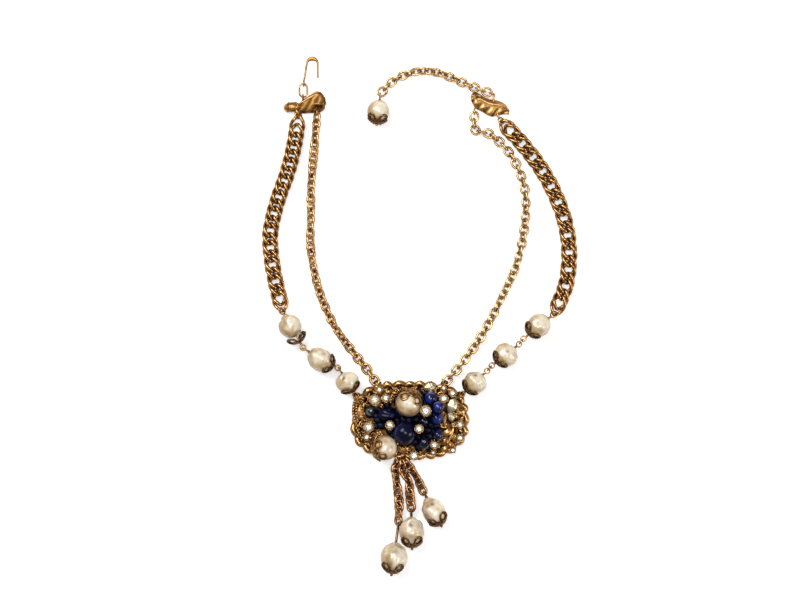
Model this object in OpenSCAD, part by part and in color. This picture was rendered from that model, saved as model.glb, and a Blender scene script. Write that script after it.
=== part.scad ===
// Baroque pearl necklace, lying open on a flat surface.
// Sizes are millimetres. z = 0 is the surface, x runs to the right and y towards the clasp.
// The origin is the centre of the back face of the centrepiece's base plate.

/* [Cable chain] */
// Radius of a round link, to the middle of its wire
cable_r = 1.96; // [1.9:0.02:2.0]
// Radius of the round link's wire
cable_wire = 0.35; // [0.3:0.01:0.36]
// Longest step from one link to the next
cable_pitch = 3.12; // [2.9:0.02:3.12]

/* [Curb chain] */
// Half the length of a twisted link, to the middle of its wire
curb_half = 4.7; // [4.6:0.05:4.7]
// Half the width of a twisted link, to the middle of its wire
curb_side = 2.9; // [2.6:0.1:3.0]
// Radius of the twisted link's wire
curb_wire = 0.6; // [0.45:0.05:0.62]
// Twist of a link about its long axis, degrees a millimetre
curb_twist = -12; // [-13:0.5:-11]
// Length of chain that one pair of links takes
curb_pair = 7.9; // [7.8:0.05:8.0]

/* [Pins and loops] */
// Radius of an eye or loop, to the middle of its wire
eye_r = 1.2; // [1.15:0.05:1.3]
// Radius of the wire of an eye or loop
eye_wire = 0.35; // [0.25:0.05:0.35]
// Radius of the larger eye that takes a twisted link, to the middle of its wire
curb_eye_r = 1.5; // [1.4:0.05:1.6]
// Radius of a pin's straight shank
shank_r = 0.3; // [0.2:0.05:0.32]
// Radius of the hole through a pearl and its cap
bore_r = 0.45; // [0.4:0.05:0.6]

/* [Pearl caps] */
// Radius of the looped petal of a cap, to the middle of its wire
petal_r = 1.75; // [1.5:0.05:1.8]
// Radius of the petal's wire
petal_wire = 0.4; // [0.3:0.05:0.45]
// Angle from the cap's centre to the middle of a petal
petal_angle = 42; // [38:1:46]
// Thickness of the cap's centre
hub_t = 0.7; // [0.5:0.05:0.8]
// Radius of the round head of a pin
head_r = 0.6; // [0.55:0.05:0.7]

/* [Centrepiece] */
// Half the length of the base plate
plate_x = 24.4; // [23.5:0.1:25]
// Half the width of the base plate
plate_y = 15.3; // [14.8:0.1:15.8]
// Thickness of the base plate
plate_t = 1.2; // [1:0.1:1.4]
// Scallops round its edge
scallops = 30; // [24:1:34]
// Height of a rhinestone's cup
cup_h = 1.5; // [1.2:0.1:1.8]
// Radius of the posts that carry stones and beads
post_r = 0.5; // [0.4:0.05:0.55]

/* [Clasp] */
// Radius of the hook's wire
hook_wire = 0.43; // [0.35:0.02:0.5]
// Radius of the hook's arch, to the middle of its wire
hook_r = 2.55; // [2.5:0.05:2.7]

/* [Hidden] */

ring_fn = 40;
wire_fn = 16;
seat_gap = 0.1;
rib_r = 0.45;

// Routes of the chains: x, y, lift above where a link lies on the surface
INNER_LEFT = [
  [-41.5, 136.7, 0], [-42.3, 127.5, 0], [-43.3, 116.0, 0], [-44.2, 104.0, 0], [-44.2, 92.0, 0],
  [-44.5, 81.5, 0], [-43.3, 70.5, 0], [-40.2, 57.7, 0], [-33.9, 43.2, 0], [-26.1, 32.1, 0],
  [-18.6, 22.8, 0], [-15.5, 18.3, 0]
];
INNER_RIGHT = [
  [29.4, 137.1, 0], [29.4, 134.1, 0], [29.8, 131.2, 0], [32.7, 130.2, 0], [36.7, 129.0, 0],
  [44.0, 122.4, 0], [49.6, 113.0, 0], [52.6, 101.4, 0], [51.9, 86.0, 0], [48.4, 70.2, 0],
  [43.0, 57.9, 0], [33.9, 40.3, 0], [24.9, 27.2, 0], [19.6, 20.9, 0], [17.3, 18.3, 0]
];
EXTENDER = [
  [35.2, 148.2, 0], [31.8, 149.4, 0], [25.3, 152.0, 0], [13.5, 156.8, 0], [4.8, 157.6, 0],
  [-2.7, 155.6, 0], [-8.2, 152.4, 0], [-12.0, 148.2, 1.0]
];
DROP_LEFT = [
  [-5.2, -18.8, 0], [-6.2, -22.9, 0], [-5.2, -30.4, 0], [-4.5, -37.0, 0], [-4.8, -44.8, 0]
];
DROP_MIDDLE = [
  [-3.2, -19.4, 0], [-2.4, -23.4, 0], [-0.1, -27.2, 0], [0.4, -33.0, 0], [1.0, -38.6, 0.5]
];
DROP_RIGHT = [
  [-1.1, -18.7, 0], [0.6, -21.3, 0], [3.3, -25.1, 0], [6.1, -31.1, 0.5]
];
CURB_LEFT = [
  [-50.4, 132.9, 0], [-51.9, 123.6, 0], [-54.8, 112.0, 0], [-59.2, 99.4, 0], [-62.4, 86.0, 0],
  [-62.2, 75.0, 0.1], [-60.4, 64.0, 0.8], [-58.0, 54.0, 2.6]
];
CURB_RIGHT = [
  [44.9, 131.6, 0], [51.0, 125.0, 0], [58.8, 114.9, 0], [65.0, 104.0, 0], [70.0, 91.0, 0],
  [72.2, 77.0, 0.1], [71.0, 62.6, 0.8], [67.0, 52.1, 2.4]
];

// Forms of the pearls: lobes round the pearl, their depth, angle of the groove, its depth, turn
KNOBBED = [2, 0.05, 148, 0.10, 20];
GROOVED = [3, 0.05, 100, 0.06, 70];
PLEATED = [5, 0.08, 150, 0.05, 10];
LUMPY = [2, 0.06, 125, 0.03, 130];
LOBED = [2, 0.10, 120, 0.02, 60];
RIDGED = [4, 0.07, 140, 0.05, 40];
PLAIN = [2, 0.03, 90, 0.0, 0];

// Fields of a pearl's row
START = 0;
END = 1;
CENTRE = 2;
SIZE = 3;
FORM = 4;
CAP_GAP = 5;

// Pearls: eye at the start, eye or head at the end, centre, [height, width, length], form, cap's gap
LEFT_1 = [[-57.0, 49.5, 5.45], [-47.6, 33.1, 6.2], [-53.5, 42.8, 5.3], [10.4, 10.4, 10.8], KNOBBED, 2.6];
LEFT_2 = [[-46.75, 32.25, 6.2], [-32.0, 24.0, 5.6], [-39.75, 27.8, 5.8], [11.4, 11.0, 12.2], GROOVED, 0];
LEFT_3 = [[-31.15, 23.15, 5.6], [-24.1, 11.7, 4.4], [-27.8, 17.7, 5.0], [9.8, 10.8, 9.2], PLEATED, 0];
RIGHT_1 = [[65.0, 47.95, 4.95], [51.4, 37.0, 5.9], [58.2, 43.0, 5.3], [10.4, 10.8, 11.2], LUMPY, 0];
RIGHT_2 = [[49.4, 34.5, 5.7], [37.2, 25.0, 5.5], [43.6, 29.9, 5.6], [11.0, 10.8, 10.6], KNOBBED, 0];
RIGHT_3 = [[35.1, 22.6, 5.7], [24.0, 12.2, 4.4], [29.7, 17.3, 5.1], [10.2, 10.6, 10.2], LOBED, 0];
DROP_L = hung([-4.8, -46.9, 2.3], [-6.8, -61.1, 5.9], [11.6, 12.2, 13.5], PLEATED);
DROP_M = hung([1.0, -40.7, 2.9], [1.2, -49.5, 5.6], [11.0, 11.2, 13.4], KNOBBED);
DROP_R = hung([7.1, -32.9, 2.9], [11.1, -40.4, 5.6], [11.0, 11.0, 13.0], RIDGED);
EXTENDER_PEARL = hung([-13.0, 146.4, 3.6], [-13.8, 139.3, 5.2], [10.2, 10.0, 10.4], PLAIN);
CENTRE_PEARL = capped([-0.1, 8.1, 7.6], [0.30, 0.83, 0.47], [12.2, 12.2, 12.2], PLAIN);
LOWER_PEARL = capped([-10.9, -11.9, 7.0], [-0.80, -0.34, 0.50], [11.2, 11.2, 11.2], PLAIN);

// Rhinestones: x, y, radius of the setting, foot of the cup
STONES = [
  [-13.4, 14.2, 1.6, 4.1], [-15.4, 9.4, 2.5, 2.2], [-10.4, 10.4, 2.0, 3.4], [7.4, 5.0, 2.5, 10.4],
  [-8.6, -1.7, 2.0, 6.9], [4.5, -3.1, 2.0, 9.7], [11.4, -10.5, 1.8, 6.9], [15.6, 15.0, 1.3, 4.2],
  [19.6, 12.6, 1.7, 3.4], [15.6, 10.2, 2.0, 3.4], [23.0, -1.6, 1.8, 2.2], [23.0, -7.6, 1.6, 2.9],
  [19.7, -13.2, 1.4, 2.9], [10.9, -14.3, 1.2, 2.2], [-18.2, -2.7, 2.4, 2.2],
  [-19.0, -7.2, 1.6, 2.2], [2.2, -15.6, 2.2, 2.2]
];

// Blue glass beads: x, y, z, radius
LARGE_BEAD = [-1.9, -5.2, 6.7, 5.4];
BLUE_BEADS = [
  [9.8, 10.2, 4.3, 3.0], [13.0, 6.4, 7.4, 2.7], [12.4, 1.2, 4.2, 2.9], [6.6, -0.2, 3.9, 2.6],
  [7.0, -9.6, 4.4, 3.1], [13.1, -6.2, 6.8, 2.6]
];
DARK_BEAD = [-17.4, 4.5, 3.7, 2.4];
// The glass leaf: x, y, foot, length, width, height
BLUE_LEAF = [-9.9, 2.8, 2.6, 9.6, 6.8, 3.4];

// Studs that the leaves and flowers sit on: x, y, top above a leaf's foot
STUDS = [
  [-22.0, 4.2, 1.05], [9.3, 15.3, 0.75], [19.6, 6.9, 1.65], [19.0, 2.0, 0.75], [16.1, 0.4, 0.65],
  [18.6, -7.6, -0.1], [23.4, 5.2, 0.1], [6.6, -14.7, -0.1]
];

// Where the chains and strings of pearls join the plate: x, y, z, direction of the loop
PLATE_LOOPS = [
  [-14.3, 16.4, 2.2, -57], [16.1, 16.4, 2.2, -123], [-23.4, 10.8, 4.1, -50], [23.15, 11.35, 4.1, -136]
];
TASSEL = [-3.2, -15.7, 2.4];
tassel_r = 2.8;
tassel_wire = 0.45;
tassel_ball = 1.3;

// Smooth line through the points of a route
route_steps = 6;
function bend(a, b, c, d, t) =
  0.5 * (2 * b + (c - a) * t + (2 * a - 5 * b + 4 * c - d) * t * t + (3 * b - a - 3 * c + d) * t * t * t);
function smooth(route) =
  let (last = len(route) - 1)
  concat(
    [for (i = [0:last - 1]) for (k = [0:route_steps - 1])
      bend(route[max(i - 1, 0)], route[i], route[i + 1], route[min(i + 2, last)], k / route_steps)],
    [route[last]]
  );

// Length of a line up to each of its points, and the point at a length
function lengths(line) =
  [for (i = 0, s = 0; i < len(line); s = i < len(line) - 1 ? s + norm(line[i + 1] - line[i]) : s, i = i + 1) s];
function at(line, run, s) =
  let (i = max(concat([0], [for (k = [0:len(line) - 2]) if (run[k] <= s) k])))
  line[i] + (line[i + 1] - line[i]) * (s - run[i]) / (run[i + 1] - run[i]);

// Point of a route with a link's own height added, never under the surface
function lifted(p, rest) = [p.x, p.y, max(p.z, 0) + rest + 0.02];

// Row of a pearl on a headed pin that hangs from its eye, and of one with a cap facing a direction
function unit(v) = v / norm(v);
function hung(eye, centre, size, form) =
  [eye, centre + unit(centre - eye) * (size.z / 2 + hub_t + head_r), centre, size, form, 0];
function capped(centre, facing, size, form) =
  [centre + unit(facing) * (size.z / 2 - 3), centre + unit(facing) * (size.z / 2 + hub_t + head_r / 2),
   centre, size, form, 0];

// Puts the child's z axis on the line from a to b
module along(a, b) {
  d = b - a;
  translate(a) rotate([0, acos(d.z / norm(d)), atan2(d.y, d.x)]) children();
}

// Puts the child's x axis on the direction u, rolled about it
module place(c, u, roll) {
  translate(c) rotate([roll, -asin(u.z / norm(u)), atan2(u.y, u.x)]) children();
}

module torus(r, wire) {
  rotate_extrude($fn = ring_fn) translate([r, 0]) circle(wire, $fn = wire_fn);
}

module rod(a, b, r) {
  along(a, b) cylinder(h = norm(b - a), r = r, $fn = wire_fn);
}

// Chain of round links, each rolled a quarter turn from the last
module cable_chain(route, roll_start, roll_end, sway) {
  line = smooth(route);
  run = lengths(line);
  total = run[len(run) - 1];
  steps = ceil(total / cable_pitch);
  slack = (roll_end - roll_start - 90 * steps) % 180;
  drift = abs(slack) > 90 ? slack - 180 * sign(slack) : slack;
  for (i = [0:steps]) {
    s = total * i / steps;
    roll = roll_start + (90 + drift / steps) * i + sway * sin(180 * i / steps);
    rest = cable_r * max(abs(sin(roll)), abs(cos(roll))) + cable_wire;
    u = at(line, run, s + cable_pitch / 2) - at(line, run, s - cable_pitch / 2);
    place(lifted(at(line, run, s), rest), u, roll) torus(cable_r, cable_wire);
  }
}

// Middle line of a twisted link, and its skin
curb_stations = 14;
curb_sides = 5;
function curb_line(t) =
  let (x = curb_half * cos(t), f = curb_twist * x, side = curb_side * sin(t))
  [x, side * cos(f), side * sin(f)];
function curb_skin(t, q) =
  let (
    p = curb_line(t),
    ahead = unit(curb_line(t + 2) - curb_line(t - 2)),
    face = [0, -sin(curb_twist * p.x), cos(curb_twist * p.x)],
    out = unit(cross(ahead, face)),
    up = cross(out, ahead)
  )
  p + curb_wire * (cos(q) * out + sin(q) * up);
CURB_POINTS = [for (i = [0:curb_stations - 1]) for (k = [0:curb_sides - 1])
  curb_skin(360 * i / curb_stations, 360 * k / curb_sides)];
function curb_id(i, k) = (i % curb_stations) * curb_sides + k % curb_sides;
CURB_FACES = [for (i = [0:curb_stations - 1]) for (k = [0:curb_sides - 1]) for (half = [0, 1])
  half == 0
    ? [curb_id(i, k), curb_id(i, k + 1), curb_id(i + 1, k)]
    : [curb_id(i + 1, k), curb_id(i, k + 1), curb_id(i + 1, k + 1)]];
curb_rest = max([for (p = CURB_POINTS) p.z]);

// Double curb chain: each link passes through the two before it. The links close up into pairs where
// the chain is drawn out, by the gap in each pair at the start and at the end.
module curb_chain(route, gap_start, gap_end) {
  line = smooth(route);
  run = lengths(line);
  total = run[len(run) - 1];
  pairs = round((total - gap_end) / curb_pair);
  pair = (total - gap_end) / pairs;
  for (i = [0:2 * pairs + 1]) {
    gap = gap_start + (gap_end - gap_start) * i / (2 * pairs + 1);
    s = pair * floor(i / 2) + gap * (i % 2);
    u = at(line, run, s + curb_half / 2) - at(line, run, s - curb_half / 2);
    place(lifted(at(line, run, s), curb_rest), u, 0) polyhedron(CURB_POINTS, CURB_FACES);
  }
}

// Skin of a baroque pearl: t runs from the cap's pole at 0, q runs round the pin
pearl_rings = 9;
pearl_sides = 14;
function pearl_skin(size, form, t, q) =
  let (
    lobe = form[1] * (0.5 + 0.5 * cos(form[0] * q + form[4] + 40 * cos(t))) * sin(t),
    groove = form[3] * exp(-pow((t - form[2]) / 11, 2)),
    k = 1 - lobe - groove
  )
  k / 2 * [size.x * sin(t) * cos(q), size.y * sin(t) * sin(q), size.z * cos(t)];
function ring_id(i, k) = 1 + i * pearl_sides + k % pearl_sides;

module pearl_body(size, form) {
  last = 1 + pearl_rings * pearl_sides;
  points = concat(
    [pearl_skin(size, form, 0, 0)],
    [for (i = [1:pearl_rings]) for (k = [0:pearl_sides - 1])
      pearl_skin(size, form, 180 * i / (pearl_rings + 1), 360 * k / pearl_sides)],
    [pearl_skin(size, form, 180, 0)]
  );
  faces = concat(
    [for (k = [0:pearl_sides - 1]) [0, ring_id(0, k + 1), ring_id(0, k)]],
    [for (i = [0:pearl_rings - 2]) for (k = [0:pearl_sides - 1]) for (half = [0, 1])
      half == 0
        ? [ring_id(i, k), ring_id(i, k + 1), ring_id(i + 1, k)]
        : [ring_id(i + 1, k), ring_id(i, k + 1), ring_id(i + 1, k + 1)]],
    [for (k = [0:pearl_sides - 1]) [last, ring_id(pearl_rings - 1, k), ring_id(pearl_rings - 1, k + 1)]]
  );
  polyhedron(points, faces);
}

// Pearl and cap sit on the pin's direction, round the pearl's own centre
module on_pearl(row) {
  along(row[CENTRE], row[CENTRE] + row[END] - row[START]) children();
}

module bore(row) {
  d = unit(row[END] - row[START]);
  rod(row[START] - d, row[END] + 2 * d, bore_r);
}

module pearl(row) {
  color("ivory") difference() {
    on_pearl(row) pearl_body(row[SIZE], row[FORM]);
    bore(row);
    if (row == CENTRE_PEARL || row == LOWER_PEARL)
      translate([row[CENTRE].x, row[CENTRE].y, 0])
        cylinder(h = row[CENTRE].z - row[SIZE].z / 2 + 3, r = post_r + seat_gap, $fn = wire_fn);
  }
}

// Cap with four looped petals that lie on the pearl, soldered round a domed middle
hub_r = 3.1;
hub_drop = 0.75;
hub_flat = 1.2;
petal_lift = 0.3;
module cap_shape(row) {
  size = row[SIZE];
  top = size.z / 2 + seat_gap;
  on_pearl(row) translate([0, 0, row[CAP_GAP]]) {
    rotate_extrude($fn = ring_fn)
      polygon([[0, top], [hub_flat, top], [hub_r, top - hub_drop], [hub_r, top - hub_drop + hub_t],
        [hub_flat, top + hub_t], [0, top + hub_t]]);
    for (q = [45:90:315]) {
      wide = 1 / norm([cos(q) / size.x, sin(q) / size.y]);
      lean = atan2(sin(petal_angle) / wide, cos(petal_angle) / size.z);
      rotate([0, 0, q])
        translate([wide / 2 * sin(petal_angle), 0, size.z / 2 * cos(petal_angle)])
          rotate([0, lean, 0]) translate([0, 0, petal_lift]) torus(petal_r, petal_wire);
    }
  }
}

module cap(row) {
  color("saddlebrown") difference() {
    cap_shape(row);
    bore(row);
  }
}

// Cap of the centrepiece, soldered to the short headed pin that holds it
module pinned_cap(row) {
  color("saddlebrown") {
    cap_shape(row);
    rod(row[START], row[END], shank_r);
    translate(row[END]) sphere(head_r, $fn = ring_fn);
  }
}

// Eye in the plane of the pin, turned about it
module eye(r, turn) {
  rotate([90, 0, turn]) torus(r, eye_wire);
}

module eye_pin(row, turn_start, turn_end, start_r = eye_r) {
  l = norm(row[END] - row[START]);
  color("goldenrod") along(row[START], row[END]) {
    eye(start_r, turn_start);
    translate([0, 0, start_r]) cylinder(h = l - start_r - eye_r, r = shank_r, $fn = wire_fn);
    translate([0, 0, l]) eye(eye_r, turn_end);
  }
}

module head_pin(row) {
  l = norm(row[END] - row[START]);
  color("goldenrod") along(row[START], row[END]) {
    eye(eye_r, 0);
    translate([0, 0, eye_r]) cylinder(h = l - eye_r, r = shank_r, $fn = wire_fn);
    translate([0, 0, l]) sphere(head_r, $fn = ring_fn);
  }
}

module pins_left() {
  eye_pin(LEFT_1, curb_twist * curb_half, 90, curb_eye_r);
  eye_pin(LEFT_2, 0, 90);
  eye_pin(LEFT_3, 0, 90);
}

module pins_right() {
  eye_pin(RIGHT_1, curb_twist * curb_half, 90, curb_eye_r);
  eye_pin(RIGHT_2, 90, 90);
  eye_pin(RIGHT_3, 90, 90);
}

module pins_drops() {
  head_pin(DROP_L);
  head_pin(DROP_M);
  head_pin(DROP_R);
}

// Upright rings that join the right-hand pearls
join_r = 1.3;
module pearl_links() {
  for (pair = [[RIGHT_1, RIGHT_2], [RIGHT_2, RIGHT_3]]) {
    a = pair[0][END];
    b = pair[1][START];
    color("goldenrod") place((a + b) / 2, b - a, 90) torus(join_r, eye_wire);
  }
}

// Outline of the base plate, a rounded oblong
plate_power = 2.7;
function bulge(v) = sign(v) * pow(abs(v), 2 / plate_power);
RIM = [for (t = [0:7.5:360]) [plate_x * bulge(cos(t)) + 0.2, plate_y * bulge(sin(t)) + 0.3]];
RIM_RUN = lengths(RIM);
function rim(part) = at(RIM, RIM_RUN, part * RIM_RUN[len(RIM) - 1]);
POSTS = concat(
  [for (s = STONES) [s.x, s.y]],
  [for (b = BLUE_BEADS) [b.x, b.y]],
  [for (l = PLATE_LOOPS) [l.x, l.y]],
  [for (p = STUDS) [p.x, p.y]],
  [for (p = [LARGE_BEAD, DARK_BEAD, BLUE_LEAF, CENTRE_PEARL[CENTRE], LOWER_PEARL[CENTRE], [0, 0], TASSEL])
    [p.x, p.y]]
);
function nearest_post(p) = min([for (q = POSTS) norm(p - q)]);

// Wire of the rings on the scallops, and the foot of a leaf that lies over them
rim_wire = 0.42;
scallop_r = 1.7;
scallop_hole = 0.75;
scallop_ring = 1.25;
clear_of_post = 1.1;
leaf_foot = plate_t + rim_wire + seat_gap;

// Holes of the pierced plate: share of the way from the middle to the rim, count, radius
PIERCED = [[0.84, 26, 0.9], [0.64, 18, 1.1], [0.44, 11, 1.2], [0.24, 6, 1.0]];

module pierced_plate() {
  linear_extrude(plate_t) difference() {
    union() {
      polygon(RIM);
      for (i = [0:scallops - 1]) translate(rim(i / scallops)) circle(scallop_r, $fn = ring_fn);
      for (s = STONES) translate([s.x, s.y]) circle(1.3, $fn = ring_fn);
      for (l = PLATE_LOOPS) translate([l.x, l.y]) circle(1.9, $fn = ring_fn);
    }
    for (i = [0:scallops - 1])
      if (nearest_post(rim(i / scallops)) > 2) translate(rim(i / scallops)) circle(scallop_hole, $fn = ring_fn);
    for (row = PIERCED) for (k = [0:row[1] - 1]) {
      p = row[0] * rim((k + 0.5) / row[1]);
      if (nearest_post(p) > row[2] + clear_of_post) translate(p) circle(row[2], $fn = ring_fn);
    }
  }
  for (i = [0:scallops - 1])
    translate([rim(i / scallops).x, rim(i / scallops).y, plate_t]) torus(scallop_ring, rim_wire);
}

// Cup with four prongs, round a stone
cup_floor = 0.4;
cup_wall = 0.35;
prong_r = 0.3;
prong_h = 1.3;
module stone_cup(s) {
  translate([s.x, s.y, 0]) {
    translate([0, 0, plate_t / 2]) cylinder(h = s[3] - plate_t / 2 + 0.3, r = post_r, $fn = wire_fn);
    translate([0, 0, s[3]]) difference() {
      cylinder(h = cup_h, r = s[2], $fn = ring_fn);
      translate([0, 0, cup_floor]) cylinder(h = cup_h, r = s[2] - cup_wall, $fn = ring_fn);
    }
    for (q = [45:90:315])
      rotate([0, 0, q]) translate([s[2] - 0.16, 0, s[3] + 0.7])
        cylinder(h = prong_h, r = prong_r, $fn = wire_fn);
  }
}

module post(x, y, top) {
  translate([x, y, plate_t / 2]) cylinder(h = top - plate_t / 2, r = post_r, $fn = wire_fn);
}

module base_plate() {
  color("goldenrod") {
    pierced_plate();
    for (p = STUDS) post(p.x, p.y, leaf_foot + p.z);
    for (s = STONES) stone_cup(s);
    for (b = concat(BLUE_BEADS, [LARGE_BEAD, DARK_BEAD])) post(b.x, b.y, b.z - 0.3);
    post(BLUE_LEAF.x, BLUE_LEAF.y, BLUE_LEAF.z + 1.2);
    for (row = [CENTRE_PEARL, LOWER_PEARL])
      post(row[CENTRE].x, row[CENTRE].y, row[CENTRE].z - row[SIZE].z / 2 + 2.6);
    for (l = PLATE_LOOPS) {
      post(l.x, l.y, l.z - eye_r + 0.1);
      translate([l.x, l.y, l.z]) rotate([90, 0, l[3]]) torus(eye_r, eye_wire);
    }
    translate(TASSEL) torus(tassel_r, tassel_wire);
    post(TASSEL.x, TASSEL.y + tassel_r, TASSEL.z + 0.2);
    translate([TASSEL.x, TASSEL.y + tassel_r - 0.2, TASSEL.z + 0.7]) sphere(tassel_ball, $fn = ring_fn);
  }
}

// Brilliant cut: table, crown, girdle and pavilion, eight sides
facets = 8;
module brilliant(r) {
  levels = [[0.55 * r, 0.45 * r], [r, 0.12 * r], [r, 0], [0.3 * r, -0.42 * r]];
  points = [for (l = levels) for (k = [0:facets - 1])
    [l[0] * cos(360 * k / facets), l[0] * sin(360 * k / facets), l[1]]];
  table = [for (k = [facets - 1:-1:0]) k];
  culet = [for (k = [0:facets - 1]) 3 * facets + k];
  sides = [for (i = [0:2]) for (k = [0:facets - 1])
    [i * facets + k, (i + 1) * facets + k, (i + 1) * facets + (k + 1) % facets, i * facets + (k + 1) % facets]];
  polyhedron(points, concat([table, culet], sides));
}

module rhinestones() {
  color("aliceblue") for (s = STONES)
    translate([s.x, s.y, s[3] + cup_h + 0.1]) brilliant(s[2] - 0.58);
}

// Bead drilled from below for its post
module glass_bead(b, sides) {
  color("navy") difference() {
    translate([b.x, b.y, b.z]) sphere(b[3], $fn = sides);
    translate([b.x, b.y, b.z - b[3] - 1]) cylinder(h = b[3] + 1, r = post_r + seat_gap, $fn = wire_fn);
  }
}

module blue_beads() {
  for (b = BLUE_BEADS) glass_bead(b, ring_fn);
}

// Pointed oval, the outline of a leaf
module pointed_oval(l, w) {
  r = (l * l + w * w) / (4 * w);
  intersection() {
    translate([0, r - w / 2]) circle(r, $fn = 96);
    translate([0, w / 2 - r]) circle(r, $fn = 96);
  }
}

module blue_leaf() {
  l = BLUE_LEAF[3];
  h = BLUE_LEAF[5];
  r = (l * l / 4 + h * h) / (2 * h);
  color("navy") difference() {
    translate([BLUE_LEAF.x, BLUE_LEAF.y, BLUE_LEAF.z]) rotate([0, 0, -8]) intersection() {
      linear_extrude(h) pointed_oval(l, BLUE_LEAF[4]);
      translate([0, 0, h - r]) sphere(r, $fn = 96);
    }
    translate([BLUE_LEAF.x, BLUE_LEAF.y, 0])
      cylinder(h = BLUE_LEAF.z + 1.4, r = post_r + seat_gap, $fn = wire_fn);
  }
}

// Thin domed leaf with a raised rib along it; its lowest edge is at z = 0
leaf_t = 0.7;
module domed_leaf(l, w, rise) {
  r = (l * l / 4 + rise * rise) / (2 * rise);
  intersection() {
    linear_extrude(rise + leaf_t + 1) pointed_oval(l, w);
    translate([0, 0, leaf_t + rise - r]) union() {
      difference() {
        sphere(r, $fn = 96);
        sphere(r - leaf_t, $fn = 96);
      }
      rotate([90, 0, 0]) torus(r, rib_r);
    }
  }
}

module seated_leaf(x, y, foot, turn, l, w, rise) {
  translate([x, y, foot]) rotate([0, 0, turn]) domed_leaf(l, w, rise);
}

module leaf_upright() {
  color("darkgoldenrod") seated_leaf(-22.0, 4.2, leaf_foot, 84, 7.2, 3.0, 1.2);
}

module leaf_ribbed() {
  color("khaki") seated_leaf(9.3, 15.3, leaf_foot, 12, 5.6, 3.4, 0.9);
}

module champagne_petals() {
  color("khaki") {
    seated_leaf(19.6, 6.9, leaf_foot + 0.6, 68, 7.4, 4.2, 1.2);
    seated_leaf(19.0, 2.0, leaf_foot, 105, 5.4, 2.6, 0.9);
  }
}

module leaf_curved() {
  color("goldenrod") seated_leaf(16.1, 0.4, leaf_foot, 80, 6.4, 1.8, 0.8);
}

// Branch: a stem with lobes on both sides. x, y, turn, length, width
lobe_t = 0.7;
vein_r = 0.22;
LOBES = [
  [17.7, -5.3, -150, 4.6, 2.2], [16.4, -8.8, -155, 4.8, 2.4], [20.4, -7.0, -50, 4.8, 2.4],
  [19.2, -10.4, -60, 4.4, 2.2], [16.7, -12.0, -115, 4.4, 2.2]
];
module branch_leaf() {
  stem = [[20.0, -3.6], [18.6, -7.6], [17.2, -11.2]];
  color("goldenrod") {
    for (b = LOBES) translate([b.x, b.y, leaf_foot]) rotate([0, 0, b.z]) {
      linear_extrude(lobe_t) pointed_oval(b[3], b[4]);
      translate([-b[3] * 0.45, 0, lobe_t]) rotate([0, 90, 0])
        cylinder(h = b[3] * 0.9, r = vein_r, $fn = wire_fn);
    }
    for (i = [0, 1]) hull() for (p = [stem[i], stem[i + 1]])
      translate([p.x, p.y, leaf_foot + 0.1]) cylinder(h = 0.9, r = 0.55, $fn = 24);
  }
}

module flower(x, y, r, foot) {
  translate([x, y, foot]) {
    cylinder(h = 0.5, r = 0.7 * r, $fn = ring_fn);
    for (q = [0:60:300]) rotate([0, 0, q]) translate([0.62 * r, 0, 0])
      cylinder(h = 0.9, r = 0.36 * r, $fn = ring_fn);
    translate([0, 0, 0.8]) sphere(0.36 * r, $fn = ring_fn);
  }
}

module flower_right() {
  color("goldenrod") flower(23.4, 5.2, 2.3, leaf_foot + 0.2);
}

module rosette_lower() {
  color("chocolate") flower(6.6, -14.7, 1.9, leaf_foot);
}

// Clasp leaves: domed blades with loops for the chains
lug_r = 0.5;
module loop(x, y, z, direction, turn, root, r = eye_r) {
  p = [x, y, z];
  d = [cos(direction), sin(direction), 0];
  place(p, d, turn) torus(r, eye_wire);
  rod(p + r * sign((root - p) * d) * d, root, lug_r);
}

// Rod with one round end
module capsule(a, b, r) {
  along(a, b) rotate_extrude($fn = ring_fn) intersection() {
    union() {
      circle(r, $fn = ring_fn);
      square([r, norm(b - a)]);
    }
    translate([0, -r]) square([r, norm(b - a) + r]);
  }
}

module leaf_left() {
  color("peru") {
    translate([-44.4, 143.1, 0.4]) rotate([0, 0, 30]) domed_leaf(16, 7.0, 2.0);
    translate([-41.9, 143.8, 0.5]) cylinder(h = 1.9, r = 4.5, $fn = ring_fn);
    capsule([-54.0, 141.6, 1.9], [-48.6, 142.1, 1.9], 1.75);
    loop(-47.8, 145.9, 1.6, 90, 90, [-47.2, 143.2, 2.3]);
    loop(-41.5, 138.9, 2.3, 90, 90, [-41.5, 141.4, 1.5]);
    loop(-49.9, 137.8, curb_rest, -96, -curb_twist * curb_half - 90, [-49.6, 141.2, 1.9], curb_eye_r);
  }
}

module leaf_right() {
  color("goldenrod") {
    translate([37.0, 142.0, 0.4]) rotate([0, 0, -20]) domed_leaf(17, 6.4, 1.8);
    translate([31.0, 144.6, 0.6]) cylinder(h = 1.8, r = 3.1, $fn = ring_fn);
    translate([36.2, 140.9, 0.6]) cylinder(h = 1.8, r = 3.4, $fn = ring_fn);
    loop(37.3, 147.5, 2.3, 163, 90, [38.0, 143.8, 2.2]);
    loop(29.5, 139.3, 2.3, 90, 90, [31.0, 142.0, 1.4]);
    loop(41.6, 135.3, curb_rest, -48, -curb_twist * curb_half - 90, [39.6, 139.4, 2.3], curb_eye_r);
  }
}

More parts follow.
